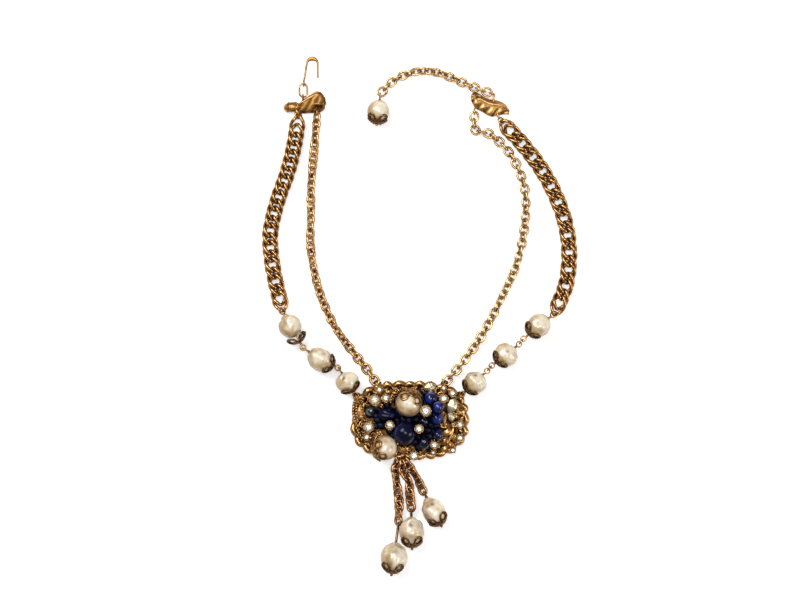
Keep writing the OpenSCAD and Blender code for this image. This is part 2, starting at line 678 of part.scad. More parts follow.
// Hook of bent wire, with an eye at its foot, and the long ring that it hangs from
ARCH = [-43.65, 161.5, hook_wire];
HOOK_EYE = [-47.5, 152.1, 1.5];
module hook() {
  tip = ARCH + [hook_r, -6.4, 0];
  color("goldenrod") {
    translate(HOOK_EYE) rotate([0, 90, 0]) torus(1.1, eye_wire);
    translate(ARCH) rotate_extrude(angle = 180, $fn = ring_fn)
      translate([hook_r, 0]) circle(hook_wire, $fn = wire_fn);
    rod(HOOK_EYE + [0.1, 1.1, 0], ARCH - [hook_r, 0, 0], hook_wire - 0.03);
    translate(ARCH - [hook_r, 0, 0]) sphere(hook_wire, $fn = ring_fn);
    rod(tip, ARCH + [hook_r, 0, 0], hook_wire);
    translate(tip) sphere(hook_wire, $fn = ring_fn);
  }
}

module hook_ring() {
  r = 1.75;
  wire = 0.38;
  color("goldenrod") translate([-47.7, 149.0, 1.6]) for (side = [0, 180]) rotate([0, 0, side]) {
    translate([0, 1.25, 0]) rotate_extrude(angle = 180, $fn = ring_fn)
      translate([r, 0]) circle(wire, $fn = wire_fn);
    translate([r, -1.25, 0]) rotate([-90, 0, 0]) cylinder(h = 2.5, r = wire, $fn = wire_fn);
  }
}

module gold_cable(route, roll_start, roll_end, sway) {
  color("goldenrod") cable_chain(route, roll_start, roll_end, sway);
}

module gold_curb(route, gap_start, gap_end) {
  color("peru") curb_chain(route, gap_start, gap_end);
}

hook();
hook_ring();
leaf_left();
leaf_right();
gold_curb(CURB_LEFT, 3.9, 2.95);  // curb_chain_left
gold_curb(CURB_RIGHT, 3.0, 2.95);  // curb_chain_right
gold_cable(INNER_LEFT, 0, 0, 45);  // inner_chain_left
gold_cable(INNER_RIGHT, 0, 0, 20);  // inner_chain_right
gold_cable(EXTENDER, 0, 0, 0);  // extender_chain
gold_cable(DROP_LEFT, 90, 0, 40);  // drop_chain_left
gold_cable(DROP_MIDDLE, 97, 0, 38);  // drop_chain_middle
gold_cable(DROP_RIGHT, 89, 0, 27);  // drop_chain_right
pearl(LEFT_1);  // pearl_left_1
pearl(LEFT_2);  // pearl_left_2
pearl(LEFT_3);  // pearl_left_3
pearl(RIGHT_1);  // pearl_right_1
pearl(RIGHT_2);  // pearl_right_2
pearl(RIGHT_3);  // pearl_right_3
pearl(DROP_L);  // pearl_drop_left
pearl(DROP_M);  // pearl_drop_middle
pearl(DROP_R);  // pearl_drop_right
pearl(EXTENDER_PEARL);  // pearl_extender
pearl(CENTRE_PEARL);  // pearl_centre
pearl(LOWER_PEARL);  // pearl_lower
cap(LEFT_1);  // cap_left_1
cap(LEFT_2);  // cap_left_2
cap(LEFT_3);  // cap_left_3
cap(RIGHT_1);  // cap_right_1
cap(RIGHT_2);  // cap_right_2
cap(RIGHT_3);  // cap_right_3
cap(DROP_L);  // cap_drop_left
cap(DROP_M);  // cap_drop_middle
cap(DROP_R);  // cap_drop_right
cap(EXTENDER_PEARL);  // cap_extender
pinned_cap(CENTRE_PEARL);  // cap_centre
pinned_cap(LOWER_PEARL);  // cap_lower
pins_left();
pins_right();
pins_drops();
head_pin(EXTENDER_PEARL);  // pin_extender
pearl_links();
base_plate();
rhinestones();
glass_bead(LARGE_BEAD, ring_fn);  // blue_bead_large
blue_beads();
blue_leaf();
glass_bead(DARK_BEAD, 10);  // dark_bead
leaf_upright();
leaf_ribbed();
champagne_petals();
leaf_curved();
branch_leaf();
flower_right();
rosette_lower();
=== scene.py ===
"""Baroque pearl necklace lying open on a pale surface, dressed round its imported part.

Shapes are worked out in millimetres in the part's own frame and turned into metres when a piece is made.
"""

import math

import bmesh
import bpy
import numpy as np
from mathutils import Euler, Matrix, Vector, noise


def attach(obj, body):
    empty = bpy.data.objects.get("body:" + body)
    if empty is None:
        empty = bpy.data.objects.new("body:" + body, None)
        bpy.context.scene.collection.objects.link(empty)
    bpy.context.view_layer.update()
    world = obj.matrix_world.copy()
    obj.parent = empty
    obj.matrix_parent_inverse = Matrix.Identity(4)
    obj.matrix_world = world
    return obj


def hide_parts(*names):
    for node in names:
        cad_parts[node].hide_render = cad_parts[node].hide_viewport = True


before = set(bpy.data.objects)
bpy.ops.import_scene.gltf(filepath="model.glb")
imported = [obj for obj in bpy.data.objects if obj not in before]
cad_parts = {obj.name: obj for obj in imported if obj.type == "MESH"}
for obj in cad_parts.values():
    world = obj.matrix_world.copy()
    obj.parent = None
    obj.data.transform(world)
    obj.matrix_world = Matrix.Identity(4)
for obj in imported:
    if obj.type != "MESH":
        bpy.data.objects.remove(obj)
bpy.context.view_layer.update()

bl_info = {
    "name": "Baroque Pearl Necklace",
    "version": (1, 0, 0),
    "blender": (4, 5, 0),
    "location": "3D View > Sidebar > Necklace",
    "description": "Makes a costume necklace of baroque pearls, gilt chains and a jewelled centrepiece",
    "category": "Object",
}

MM = 0.001
BODY = "root"
SEED = 7
FULL_TURN = 2 * math.pi
PITCH_LIMIT = 4.0
# How far each link of a chain may roll, and the y above which the chain lies like a rope
LEANING = {
    "inner_chain_left": (9.0, 40.0), "inner_chain_right": (14.0, 200.0), "drop_chain_left": (16.0, -90.0),
    "drop_chain_middle": (16.0, -90.0), "drop_chain_right": (16.0, -90.0),
}
# How much heavier the wire of a chain is than the others'
THICKER = {
    "inner_chain_left": 1.16, "drop_chain_left": 1.28, "drop_chain_middle": 1.28, "drop_chain_right": 1.28,
}
# Height of the end links of the curb chains, and how far their heavier wire lifts every twisted link
CURB_REST = 1.888
CURB_LIFT = 0.14
# Pins: an eye, the larger eye that takes a twisted link, their wire, and the shanks
EYE_R = 1.2
CURB_EYE_R = 1.5
EYE_WIRE = 0.35
SHANK_R = 0.4
DROP_SHANK_R = 0.6
# Angle from the middle of a cap to the middle of its looped petals
PETAL_ANGLE = 42
# The surface in the scene, in metres: half its side, and how far it lies under the links
FLOOR_HALF = 1.6
FLOOR_DROP = 0.0001


# Tables
# Forms of the pearls: lobes round the pearl, their depth, angle of the groove, its depth, turn
KNOBBED = (2, 0.05, 148, 0.10, 20)
GROOVED = (3, 0.05, 100, 0.06, 70)
PLEATED = (5, 0.08, 150, 0.05, 10)
LUMPY = (2, 0.06, 125, 0.03, 130)
LOBED = (2, 0.10, 120, 0.02, 60)
RIDGED = (4, 0.07, 140, 0.05, 40)
PLAIN = (2, 0.03, 90, 0.0, 0)


def unit(v):
    v = np.asarray(v, float)
    return v / np.linalg.norm(v)


HUB_THICK = 0.7
HEAD_R = 0.6


def strung(start, end, centre, size, form, gap=0.0):
    """A pearl on a pin with an eye at each end."""
    return {"start": np.array(start, float), "end": np.array(end, float), "centre": np.array(centre, float),
            "size": np.array(size, float), "form": form, "gap": gap}


def hung(eye, centre, size, form):
    """A pearl on a headed pin that hangs from its eye."""
    way = unit(np.subtract(centre, eye))
    return strung(eye, centre + way * (size[2] / 2 + HUB_THICK + HEAD_R), centre, size, form)


def capped(centre, facing, size, form):
    """A pearl on the plate, with its cap facing a direction."""
    way = unit(facing)
    return strung(centre + way * (size[2] / 2 - 3), centre + way * (size[2] / 2 + HUB_THICK + HEAD_R / 2),
                  centre, size, form)


PEARLS = {
    "left_1": strung((-57, 49.5, 5.45), (-47.6, 33.1, 6.2), (-53.5, 42.8, 5.3), (10.4, 10.4, 10.8), KNOBBED,
                     2.6),
    "left_2": strung((-46.75, 32.25, 6.2), (-32, 24, 5.6), (-39.75, 27.8, 5.8), (11.4, 11, 12.2), GROOVED),
    "left_3": strung((-31.15, 23.15, 5.6), (-24.1, 11.7, 4.4), (-27.8, 17.7, 5.0), (9.8, 10.8, 9.2), PLEATED),
    "right_1": strung((65, 47.95, 4.95), (51.4, 37, 5.9), (58.2, 43, 5.3), (10.4, 10.8, 11.2), LUMPY),
    "right_2": strung((49.4, 34.5, 5.7), (37.2, 25, 5.5), (43.6, 29.9, 5.6), (11, 10.8, 10.6), KNOBBED),
    "right_3": strung((35.1, 22.6, 5.7), (24, 12.2, 4.4), (29.7, 17.3, 5.1), (10.2, 10.6, 10.2), LOBED),
    "drop_left": hung((-4.8, -46.9, 2.3), (-6.8, -61.1, 5.9), (11.6, 12.2, 13.5), PLEATED),
    "drop_middle": hung((1, -40.7, 2.9), (1.2, -49.5, 5.6), (11, 11.2, 13.4), KNOBBED),
    "drop_right": hung((7.1, -32.9, 2.9), (11.1, -40.4, 5.6), (11, 11, 13), RIDGED),
    "extender": hung((-13, 146.4, 3.6), (-13.8, 139.3, 5.2), (10.2, 10, 10.4), PLAIN),
    "centre": capped((-0.1, 8.1, 7.6), (0.30, 0.83, 0.47), (12.2, 12.2, 12.2), PLAIN),
    "lower": capped((-10.9, -11.9, 7.0), (-0.80, -0.34, 0.50), (11.2, 11.2, 11.2), PLAIN),
}

# Marks on the pearls, seen from above: x and y from the pearl's centre, width, height (a pit is under 0)
MARKS = {
    "left_1": [(-1.0, 4.6, 1.7, 0.6), (1.6, -0.6, 1.2, -0.16), (-2.6, 1.2, 1.4, -0.2), (2.4, 2.4, 1.6, 0.3)],
    "left_2": [(-3.6, 2.4, 2.0, 0.3), (1.8, 2.8, 1.3, -0.28), (0.6, -0.6, 1.1, -0.14)],
    "left_3": [(-3.4, 2.2, 1.3, 0.6), (-1.6, 3.6, 1.2, 0.45), (-2.0, 1.8, 0.9, -0.48),
               (1.2, -0.8, 1.1, -0.12)],
    "right_1": [(2.6, 1.4, 2.0, 0.3), (-1.2, 1.0, 1.4, -0.16), (0.6, -2.6, 1.4, -0.2)],
    "right_2": [(3.2, 3.0, 1.3, 0.65), (0.6, 1.7, 0.7, -0.36), (-1.6, 1.4, 1.1, -0.16),
                (2.6, -0.8, 1.1, -0.16)],
    "right_3": [(-2.4, 2.8, 2.0, 0.4), (2.2, 3.0, 2.0, 0.4), (0.0, 3.6, 1.0, -0.5), (1.8, -1.0, 1.1, -0.12)],
    "drop_left": [(0.6, 3.6, 1.9, -0.30), (2.8, 4.4, 1.3, 0.35), (-3.2, 0.6, 2.2, -0.16),
                  (-1.6, -3.4, 1.8, -0.2)],
    "drop_middle": [(-0.3, 5.6, 1.6, 0.8), (-0.3, 4.1, 1.3, -0.5), (-0.8, -2.6, 1.6, -0.26),
                    (3.6, 2.8, 1.7, -0.16)],
    "drop_right": [(-3.0, 5.0, 1.3, 0.6), (-1.0, 4.2, 1.3, -0.42), (-3.4, 3.0, 1.2, -0.36),
                   (-2.4, -1.5, 1.9, -0.2)],
    "extender": [(1.6, 1.4, 1.4, 0.12), (-1.6, 0.4, 1.3, -0.1)],
    "centre": [(-2.6, -1.6, 1.8, -0.06), (0.4, -3.6, 1.6, -0.14)],
    "lower": [(1.6, 0.8, 1.8, -0.06), (0.2, 3.6, 1.5, -0.14)],
}

# Rhinestones: x, y, radius of the setting, foot of the cup
STONES = [
    (-13.4, 14.2, 1.6, 4.1), (-15.4, 9.4, 2.5, 2.2), (-10.4, 10.4, 2.0, 3.4), (7.4, 5.0, 2.5, 10.4),
    (-8.6, -1.7, 2.0, 6.9), (4.5, -3.1, 2.0, 9.7), (11.4, -10.5, 1.8, 6.9), (15.6, 15.0, 1.3, 4.2),
    (19.6, 12.6, 1.7, 3.4), (15.6, 10.2, 2.0, 3.4), (23.0, -1.6, 1.8, 2.2), (23.0, -7.6, 1.6, 2.9),
    (19.7, -13.2, 1.4, 2.9), (10.9, -14.3, 1.2, 2.2), (-18.2, -2.7, 2.4, 2.2),
    (-19.0, -7.2, 1.6, 2.2), (2.2, -15.6, 2.2, 2.2),
]
CUP_H = 1.5

# Blue glass beads: x, y, z, radius
LARGE_BEAD = (-1.9, -5.2, 6.7, 5.4)
BLUE_BEADS = [
    (9.8, 10.2, 4.3, 3.0), (13.0, 6.4, 7.4, 2.7), (12.4, 1.2, 4.2, 2.9), (6.6, -0.2, 3.9, 2.6),
    (7.0, -9.6, 4.4, 3.1), (13.1, -6.2, 6.8, 2.6),
]
DARK_BEAD = (-17.4, 4.5, 3.7, 2.4)
BLUE_LEAF = (-9.9, 2.8, 2.6, 9.6, 6.8, 3.4)

PLATE_X, PLATE_Y, PLATE_T, PLATE_POWER, SCALLOPS = 24.4, 15.3, 1.2, 2.7, 30
LEAF_FOOT = 1.72
LEAF_T = 0.7


SHELLS = 28
# Ground that the branch and the pale petals need for themselves
BARE = [(16.5, 10.8), (22.4, 10.8), (22.4, -0.6), (23.4, -4.0), (23.0, -10.0), (19.0, -14.0), (13.4, -13.4),
        (13.0, -3.4)]
# Holes of the pierced plate: share of the way from the middle to the rim, count, radius
PIERCED = ((0.84, 26, 0.9), (0.64, 18, 1.1), (0.44, 11, 1.2), (0.24, 6, 1.0))
CORD_SIDE = (-3.5, 8.5)
# Twisted cords at the left and lower left of the plate
CORDS = [
    [(-23.9, 10.6, 2.2), (-25.0, 7.0, 2.3), (-25.2, 3.0, 2.3), (-24.2, -0.8, 2.2), (-22.9, -2.6, 2.0)],
    [(-20.4, 10.4, 2.4), (-22.6, 8.9, 2.7), (-23.9, 6.2, 2.6), (-23.8, 2.6, 2.4), (-21.6, 0.6, 2.4),
     (-19.2, 0.0, 2.2)],
    [(-24.6, -0.2, 2.0), (-23.7, -3.8, 2.2), (-22.0, -6.6, 2.2), (-19.6, -9.2, 2.1)],
    [(-20.0, 2.4, 2.4), (-20.9, 4.6, 3.0), (-20.3, 7.0, 2.9), (-18.8, 8.2, 2.4)],
]
# Ground of the centrepiece that dark glass petals cover
GLASS_BED = [
    (-18.6, 6.6), (-13.8, 5.9), (-10.2, 7.2), (-6.4, 7.0), (-5.0, 12.6), (5.8, 13.2), (11.2, 12.4),
    (14.6, 7.6),
    (14.2, -1.0), (15.2, -3.6), (14.6, -7.4), (10.4, -8.6), (9.2, -12.4), (3.8, -12.6), (-1.4, -11.2),
    (-5.8, -9.6), (-9.8, -4.6), (-14.8, -4.4), (-15.4, 0.2), (-18.8, 2.0),
]

# Shapes
class Shape:
    """Parts of one piece, in millimetres. Each point's darkness runs from 0 to 1: painted shade in hollows,
    gaps, undersides and inner sides, and the real dark of patina, pits and darker glass.
    """

    def __init__(self):
        self.points, self.faces, self.sunk, self.count = [], [], [], 0

    def add(self, points, faces, sunk=0.0):
        points = np.asarray(points, float)
        self.points.append(points)
        self.faces.extend([i + self.count for i in face] for face in faces)
        self.sunk.append(np.broadcast_to(np.asarray(sunk, float), (len(points),)))
        self.count += len(points)

    def mesh(self, name, sharp=None):
        mesh = bpy.data.meshes.new(name)
        mesh.from_pydata((np.vstack(self.points) * MM).tolist(), [], self.faces)
        layer = mesh.attributes.new("sunk", "FLOAT", "POINT")
        layer.data.foreach_set("value", np.concatenate(self.sunk).astype(np.float32))
        mesh.shade_smooth()
        if sharp is not None:
            mesh.set_sharp_from_angle(angle=math.radians(sharp))
        mesh.update()
        return mesh

    def piece(self, name, material, nodes=(), slot=None, sharp=None):
        obj = bpy.data.objects.new(name, self.mesh(name, sharp))
        bpy.context.scene.collection.objects.link(obj)
        obj.data.materials.append(material)
        return mounted(obj, nodes)


def mounted(obj, nodes=()):
    """Fixes a finished piece to the part and hides the parts that it stands for."""
    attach(obj, BODY)
    if nodes:
        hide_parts(*nodes)
    return obj


def smooth_step(low, high, x):
    t = np.clip((np.asarray(x, float) - low) / (high - low), 0, 1)
    return t * t * (3 - 2 * t)


def turned(axis_from, axis_to):
    """Matrix that puts z on the line from a to b, turned as the part's own pins are."""
    d = np.subtract(axis_to, axis_from)
    lean = math.acos(d[2] / np.linalg.norm(d))
    around = math.atan2(d[1], d[0])
    return np.array(Matrix.Rotation(around, 3, "Z") @ Matrix.Rotation(lean, 3, "Y"))


def band_faces(rows, columns, close_rows=False):
    """Quads between rings of points that close on themselves."""
    last = rows if close_rows else rows - 1
    return [
        (i * columns + k, i * columns + (k + 1) % columns,
         (i + 1) % rows * columns + (k + 1) % columns, (i + 1) % rows * columns + k)
        for i in range(last) for k in range(columns)
    ]


def wire_frames(path, closed):
    """Direction and two side directions at each point of a path, without twist."""
    path = np.asarray(path, float)
    if closed:
        ahead = np.roll(path, -1, 0) - np.roll(path, 1, 0)
    else:
        ahead = np.gradient(path, axis=0)
    ahead /= np.linalg.norm(ahead, axis=1)[:, None]
    start = np.cross(ahead[0], (0.0, 0.0, 1.0))
    if np.linalg.norm(start) < 0.1:
        start = np.cross(ahead[0], (1.0, 0.0, 0.0))
    side = [unit(start)]
    for a, b in zip(ahead[:-1], ahead[1:]):
        s = side[-1]
        v, c = np.cross(a, b), float(np.dot(a, b))
        side.append(unit(s * c + np.cross(v, s) + v * np.dot(v, s) / (1 + c + 1e-9)))
    side = np.array(side)
    if closed:
        s, a, b = side[-1], ahead[-1], ahead[0]
        v, c = np.cross(a, b), float(np.dot(a, b))
        home = unit(s * c + np.cross(v, s) + v * np.dot(v, s) / (1 + c + 1e-9))
        off = math.atan2(np.dot(np.cross(home, side[0]), ahead[0]), np.dot(home, side[0]))
        for i in range(len(path)):
            w = off * i / len(path)
            side[i] = side[i] * math.cos(w) + np.cross(ahead[i], side[i]) * math.sin(w)
    return ahead, side, np.cross(ahead, side)


def tube(path, radius, sides=10, closed=False, up=None, flat=1.0, core=None):
    """Round or flattened wire along a path. 'up' gives the flat direction; the side that faces 'core' gets
    painted shade.
    """
    path = np.asarray(path, float)
    n = len(path)
    radius = np.broadcast_to(np.asarray(radius, float), (n,)).copy()
    flat = np.broadcast_to(np.asarray(flat, float), (n,)).copy()
    ahead, side, top = wire_frames(path, closed)
    if up is not None:
        up = np.broadcast_to(np.asarray(up, float), (n, 3))
        side = np.cross(up, ahead)
        side /= np.linalg.norm(side, axis=1)[:, None]
        top = np.cross(ahead, side)
    if not closed:  # round ends
        rows = []
        for i, way in ((0, -1), (n - 1, 1)):
            ends = []
            for lean in (30, 60, 82):
                c, s = math.cos(math.radians(lean)), math.sin(math.radians(lean))
                point = path[i] + way * ahead[i] * radius[i] * s * min(1, flat[i] * 1.6)
                ends.append((point, side[i], top[i], radius[i] * c, flat[i]))
            rows.append(ends[::-1] if way < 0 else ends)
        middle = [(path[i], side[i], top[i], radius[i], flat[i]) for i in range(n)]
        stations = rows[0] + middle + rows[1]
    else:
        stations = [(path[i], side[i], top[i], radius[i], flat[i]) for i in range(n)]
    angles = np.arange(sides) * FULL_TURN / sides
    points, sunk = [], []
    for p, s, t, r, f in stations:
        out = np.outer(np.cos(angles), s) + np.outer(np.sin(angles) * f, t)
        points.append(p + r * out)
        if core is None:
            sunk.append(np.zeros(sides))
        else:
            sunk.append(smooth_step(-0.1, 1.1, out @ unit(np.subtract(core, p) + 1e-9)))
    points, sunk = np.vstack(points), np.concatenate(sunk)
    faces = band_faces(len(stations), sides, closed)
    if not closed:
        faces.append(tuple(range(sides))[::-1])
        faces.append(tuple(range((len(stations) - 1) * sides, len(stations) * sides)))
    return points, faces, sunk


def ring_path(centre, a, b, radius, steps=32):
    """Circle in the plane of the directions a and b."""
    t = np.arange(steps) * FULL_TURN / steps
    return np.asarray(centre) + radius * (np.outer(np.cos(t), a) + np.outer(np.sin(t), b))


def lathe(profile, sides, centre=(0, 0, 0), sunk=None):
    """Turned shape. The profile runs from one point on the axis to another."""
    profile = np.asarray(profile, float)
    angles = np.arange(sides) * FULL_TURN / sides
    points, dark = [], []
    for i, (r, z) in enumerate(profile[1:-1], 1):
        points.append(np.column_stack((r * np.cos(angles), r * np.sin(angles), np.full(sides, z))))
        dark.append(np.full(sides, 0.0 if sunk is None else sunk[i]))
    rows = len(points)
    points = np.vstack(points + [[[0, 0, profile[0][1]]], [[0, 0, profile[-1][1]]]])
    dark = np.concatenate(dark + [[0.0, 0.0] if sunk is None else [sunk[0], sunk[-1]]])
    faces = band_faces(rows, sides)
    first, last = rows * sides, rows * sides + 1
    faces += [(first, (k + 1) % sides, k) for k in range(sides)]
    faces += [(last, (rows - 1) * sides + k, (rows - 1) * sides + (k + 1) % sides) for k in range(sides)]
    return points + np.asarray(centre), faces, dark


def ball(centre, radius, sides=16, squash=1.0):
    t = np.linspace(0, math.pi, sides // 2 + 1)
    return lathe(np.column_stack((np.sin(t), -np.cos(t) * squash)) * radius, sides, centre)


def sheet(points, rows, columns, thick, sunk):
    """Closed metal leaf from a grid of points on its upper face."""
    points = np.asarray(points, float).reshape(rows, columns, 3)
    edge = np.zeros((rows, columns))
    across = np.minimum(np.arange(columns), np.arange(columns)[::-1]) / (columns / 2)
    edge += smooth_step(0, 0.35, across)[None, :]
    along = np.gradient(points, axis=0)
    over = np.gradient(points, axis=1)
    normal = np.cross(over, along)
    length = np.linalg.norm(normal, axis=2)
    normal[length < 1e-9] = (0, 0, 1)
    normal /= np.linalg.norm(normal, axis=2)[:, :, None]
    normal *= np.where(normal[:, :, 2] < 0, -1.0, 1.0)[:, :, None]
    under = points - normal * (thick * (0.35 + 0.65 * edge))[:, :, None]
    ring = []
    for i in range(rows):
        ring.append(np.vstack((points[i], under[i][::-1])))
    ring = np.array(ring)
    count = 2 * columns
    faces = [tuple(reversed(f)) for f in band_faces(rows, count)]
    faces.append(tuple(range(count)))
    faces.append(tuple(range((rows - 1) * count, rows * count))[::-1])
    dark = np.asarray(sunk, float).reshape(rows, columns)
    # The underside gets painted shade (0.8).
    return ring.reshape(-1, 3), faces, np.hstack((dark, np.full((rows, columns), 0.8))).ravel()


# Finishes
class Nodes:
    """Short ways to add nodes to a tree and link them."""

    def __init__(self, tree):
        self.tree = tree

    def add(self, kind, inputs=None, **settings):
        node = self.tree.nodes.new(kind)
        for name, value in settings.items():
            setattr(node, name, value)
        for key, value in (inputs or {}).items():
            if isinstance(key, int):
                socket = node.inputs[key]
            else:
                named = [s for s in node.inputs if s.name == key]
                socket = next((s for s in named if s.enabled), named[0])
            if isinstance(value, bpy.types.NodeSocket):
                self.tree.links.new(value, socket)
            else:
                socket.default_value = value
        return node

    def math(self, operation, a, b=0.0, clamp=False):
        kind = "ShaderNodeMath"
        return self.add(kind, {0: a, 1: b}, operation=operation, use_clamp=clamp).outputs[0]

    def ramp(self, value, stops):
        node = self.add("ShaderNodeValToRGB", {"Fac": value})
        elements = node.color_ramp.elements
        while len(elements) < len(stops):
            elements.new(0.5)
        for element, (place, colour) in zip(elements, stops):
            element.position = place
            element.color = (*colour, 1.0)
        return node.outputs["Color"]

    def mix(self, share, a, b, blend="MIX"):
        node = self.add("ShaderNodeMix", data_type="RGBA", blend_type=blend, clamp_factor=True)
        for index, value in ((0, share), (6, a), (7, b)):
            if isinstance(value, bpy.types.NodeSocket):
                self.tree.links.new(value, node.inputs[index])
            else:
                node.inputs[index].default_value = value if index == 0 else (*value, 1.0)
        return node.outputs[2]


def blank_material(name):
    material = bpy.data.materials.new(name)
    material.use_nodes = True
    material.node_tree.nodes.clear()
    nodes = Nodes(material.node_tree)
    shader = nodes.add("ShaderNodeBsdfPrincipled")
    nodes.add("ShaderNodeOutputMaterial", {"Surface": shader.outputs[0]})
    return material, nodes, shader


def wire_input(nodes, shader, name, value):
    socket = shader.inputs[name]
    if isinstance(value, bpy.types.NodeSocket):
        nodes.tree.links.new(value, socket)
    else:
        socket.default_value = value


def metal_finish(name, bright, mid, dark, gloss=0.25, wear=0.5, recess=0.92, flank_shade=0.85):
    """Worn gilt or brass: bright where it rubs, browner in patches. Its hollows are darkened with painted
    shade and patina, and its flanks, which turn away from straight up, with painted shade.
    """
    material, nodes, shader = blank_material(name)
    place = nodes.add("ShaderNodeTexCoord").outputs["Object"]
    patch = nodes.add("ShaderNodeTexNoise", {"Vector": place, "Scale": 360.0, "Detail": 2.0,
                                             "Roughness": 0.45})
    fine = nodes.add("ShaderNodeTexNoise", {"Vector": place, "Scale": 2600.0, "Detail": 2.0,
                                            "Roughness": 0.5})
    sunk = nodes.add("ShaderNodeAttribute", attribute_name="sunk").outputs["Fac"]
    tone = nodes.add("ShaderNodeAttribute", attribute_name="tone").outputs["Fac"]
    shade = nodes.add("ShaderNodeAmbientOcclusion", {"Distance": 0.0012}, samples=6).outputs["AO"]
    body = nodes.ramp(nodes.math("ADD", patch.outputs["Fac"], nodes.math("MULTIPLY", tone, 0.16)),
                      [(0.34, mid), (0.34 + 0.4 * wear, bright), (0.95, bright)])
    # Painted shade and patina in the hollows, from ambient occlusion.
    hollow = nodes.math("SUBTRACT", 1.0, nodes.math("POWER", shade, 1.5))
    normal = nodes.add("ShaderNodeNewGeometry").outputs["Normal"]
    upward = nodes.add("ShaderNodeSeparateXYZ", {0: normal}).outputs[2]
    # Painted shade down the flanks: the further a face turns from straight up, the darker it is painted.
    side = nodes.math("DIVIDE", nodes.math("SUBTRACT", 0.80, upward), 0.62, True)
    side = nodes.math("MULTIPLY", side, flank_shade)
    shade_and_patina = nodes.math("MAXIMUM", nodes.math("MAXIMUM", sunk, side), nodes.math("MULTIPLY", hollow, 1.15))
    shade_and_patina = nodes.math("MULTIPLY", shade_and_patina,
                       nodes.math("ADD", nodes.math("MULTIPLY", patch.outputs["Fac"], 0.5), 0.72))
    shade_and_patina = nodes.math("MULTIPLY", shade_and_patina, recess, True)
    colour = nodes.mix(shade_and_patina, body, dark)
    rough = nodes.math("ADD", nodes.math("MULTIPLY", fine.outputs["Fac"], 0.16),
                       nodes.math("ADD", nodes.math("MULTIPLY", shade_and_patina, 0.25), gloss - 0.08))
    bump = nodes.add("ShaderNodeBump", {"Strength": 0.10, "Distance": 0.00006, "Height": fine.outputs["Fac"]})
    wire_input(nodes, shader, "Base Color", colour)
    wire_input(nodes, shader, "Roughness", rough)
    wire_input(nodes, shader, "Normal", bump.outputs["Normal"])
    wire_input(nodes, shader, "Metallic", 1.0)
    return material


def pearl_finish(name, light, warm, pit):
    material, nodes, shader = blank_material(name)
    place = nodes.add("ShaderNodeTexCoord").outputs["Object"]
    cloud = nodes.add("ShaderNodeTexNoise", {"Vector": place, "Scale": 210.0, "Detail": 2.0,
                                             "Roughness": 0.45})
    grain = nodes.add("ShaderNodeTexNoise", {"Vector": place, "Scale": 1500.0, "Detail": 3.0,
                                             "Roughness": 0.6})
    speck = nodes.add("ShaderNodeTexVoronoi", {"Vector": place, "Scale": 520.0, "Randomness": 1.0})
    sunk = nodes.add("ShaderNodeAttribute", attribute_name="sunk").outputs["Fac"]
    faced = nodes.add("ShaderNodeNewGeometry").outputs["Normal"]
    normal = nodes.add("ShaderNodeSeparateXYZ", {0: faced}).outputs
    cloudy = nodes.math("MULTIPLY", nodes.math("SUBTRACT", cloud.outputs["Fac"], 0.5), 1.1)
    # Painted light and shade: lightest where the skin faces up and a little to the upper right, then warm,
    # tan and brown down the flanks, darkest towards the lower left; the clouds move these edges about.
    painted_light_tilt = nodes.math("ADD", nodes.math("MULTIPLY", normal[0], 0.28),
                          nodes.math("MULTIPLY", normal[1], 0.20))
    painted_light_and_clouds = nodes.math("ADD", nodes.math("ADD", normal[2], painted_light_tilt), cloudy)
    tan_shade = tuple(c * k for c, k in zip(warm, (0.70, 0.58, 0.42)))
    brown_shade = tuple(c * k for c, k in zip(warm, (0.30, 0.21, 0.13)))
    skin = nodes.ramp(painted_light_and_clouds, [(0.06, brown_shade), (0.42, tan_shade), (0.70, warm), (0.96, light), (1.0, light)])
    dots = nodes.math("LESS_THAN", speck.outputs["Distance"], 0.06)
    stain = nodes.math("MAXIMUM", sunk, nodes.math("MULTIPLY", dots, 0.12), True)
    wire_input(nodes, shader, "Base Color", nodes.mix(stain, skin, pit))
    wire_input(nodes, shader, "Roughness",
               nodes.math("ADD", nodes.math("MULTIPLY", grain.outputs["Fac"], 0.12), 0.24))
    bump = nodes.add("ShaderNodeBump", {"Strength": 0.06, "Distance": 0.00005,
                                        "Height": grain.outputs["Fac"]})
    wire_input(nodes, shader, "Normal", bump.outputs["Normal"])
    for socket, value in (("Subsurface Weight", 0.08), ("Subsurface Scale", 0.0015), ("Coat Weight", 0.75),
                          ("Coat Roughness", 0.18), ("Coat IOR", 1.7), ("Sheen Weight", 0.05)):
        shader.inputs[socket].default_value = value
    return material


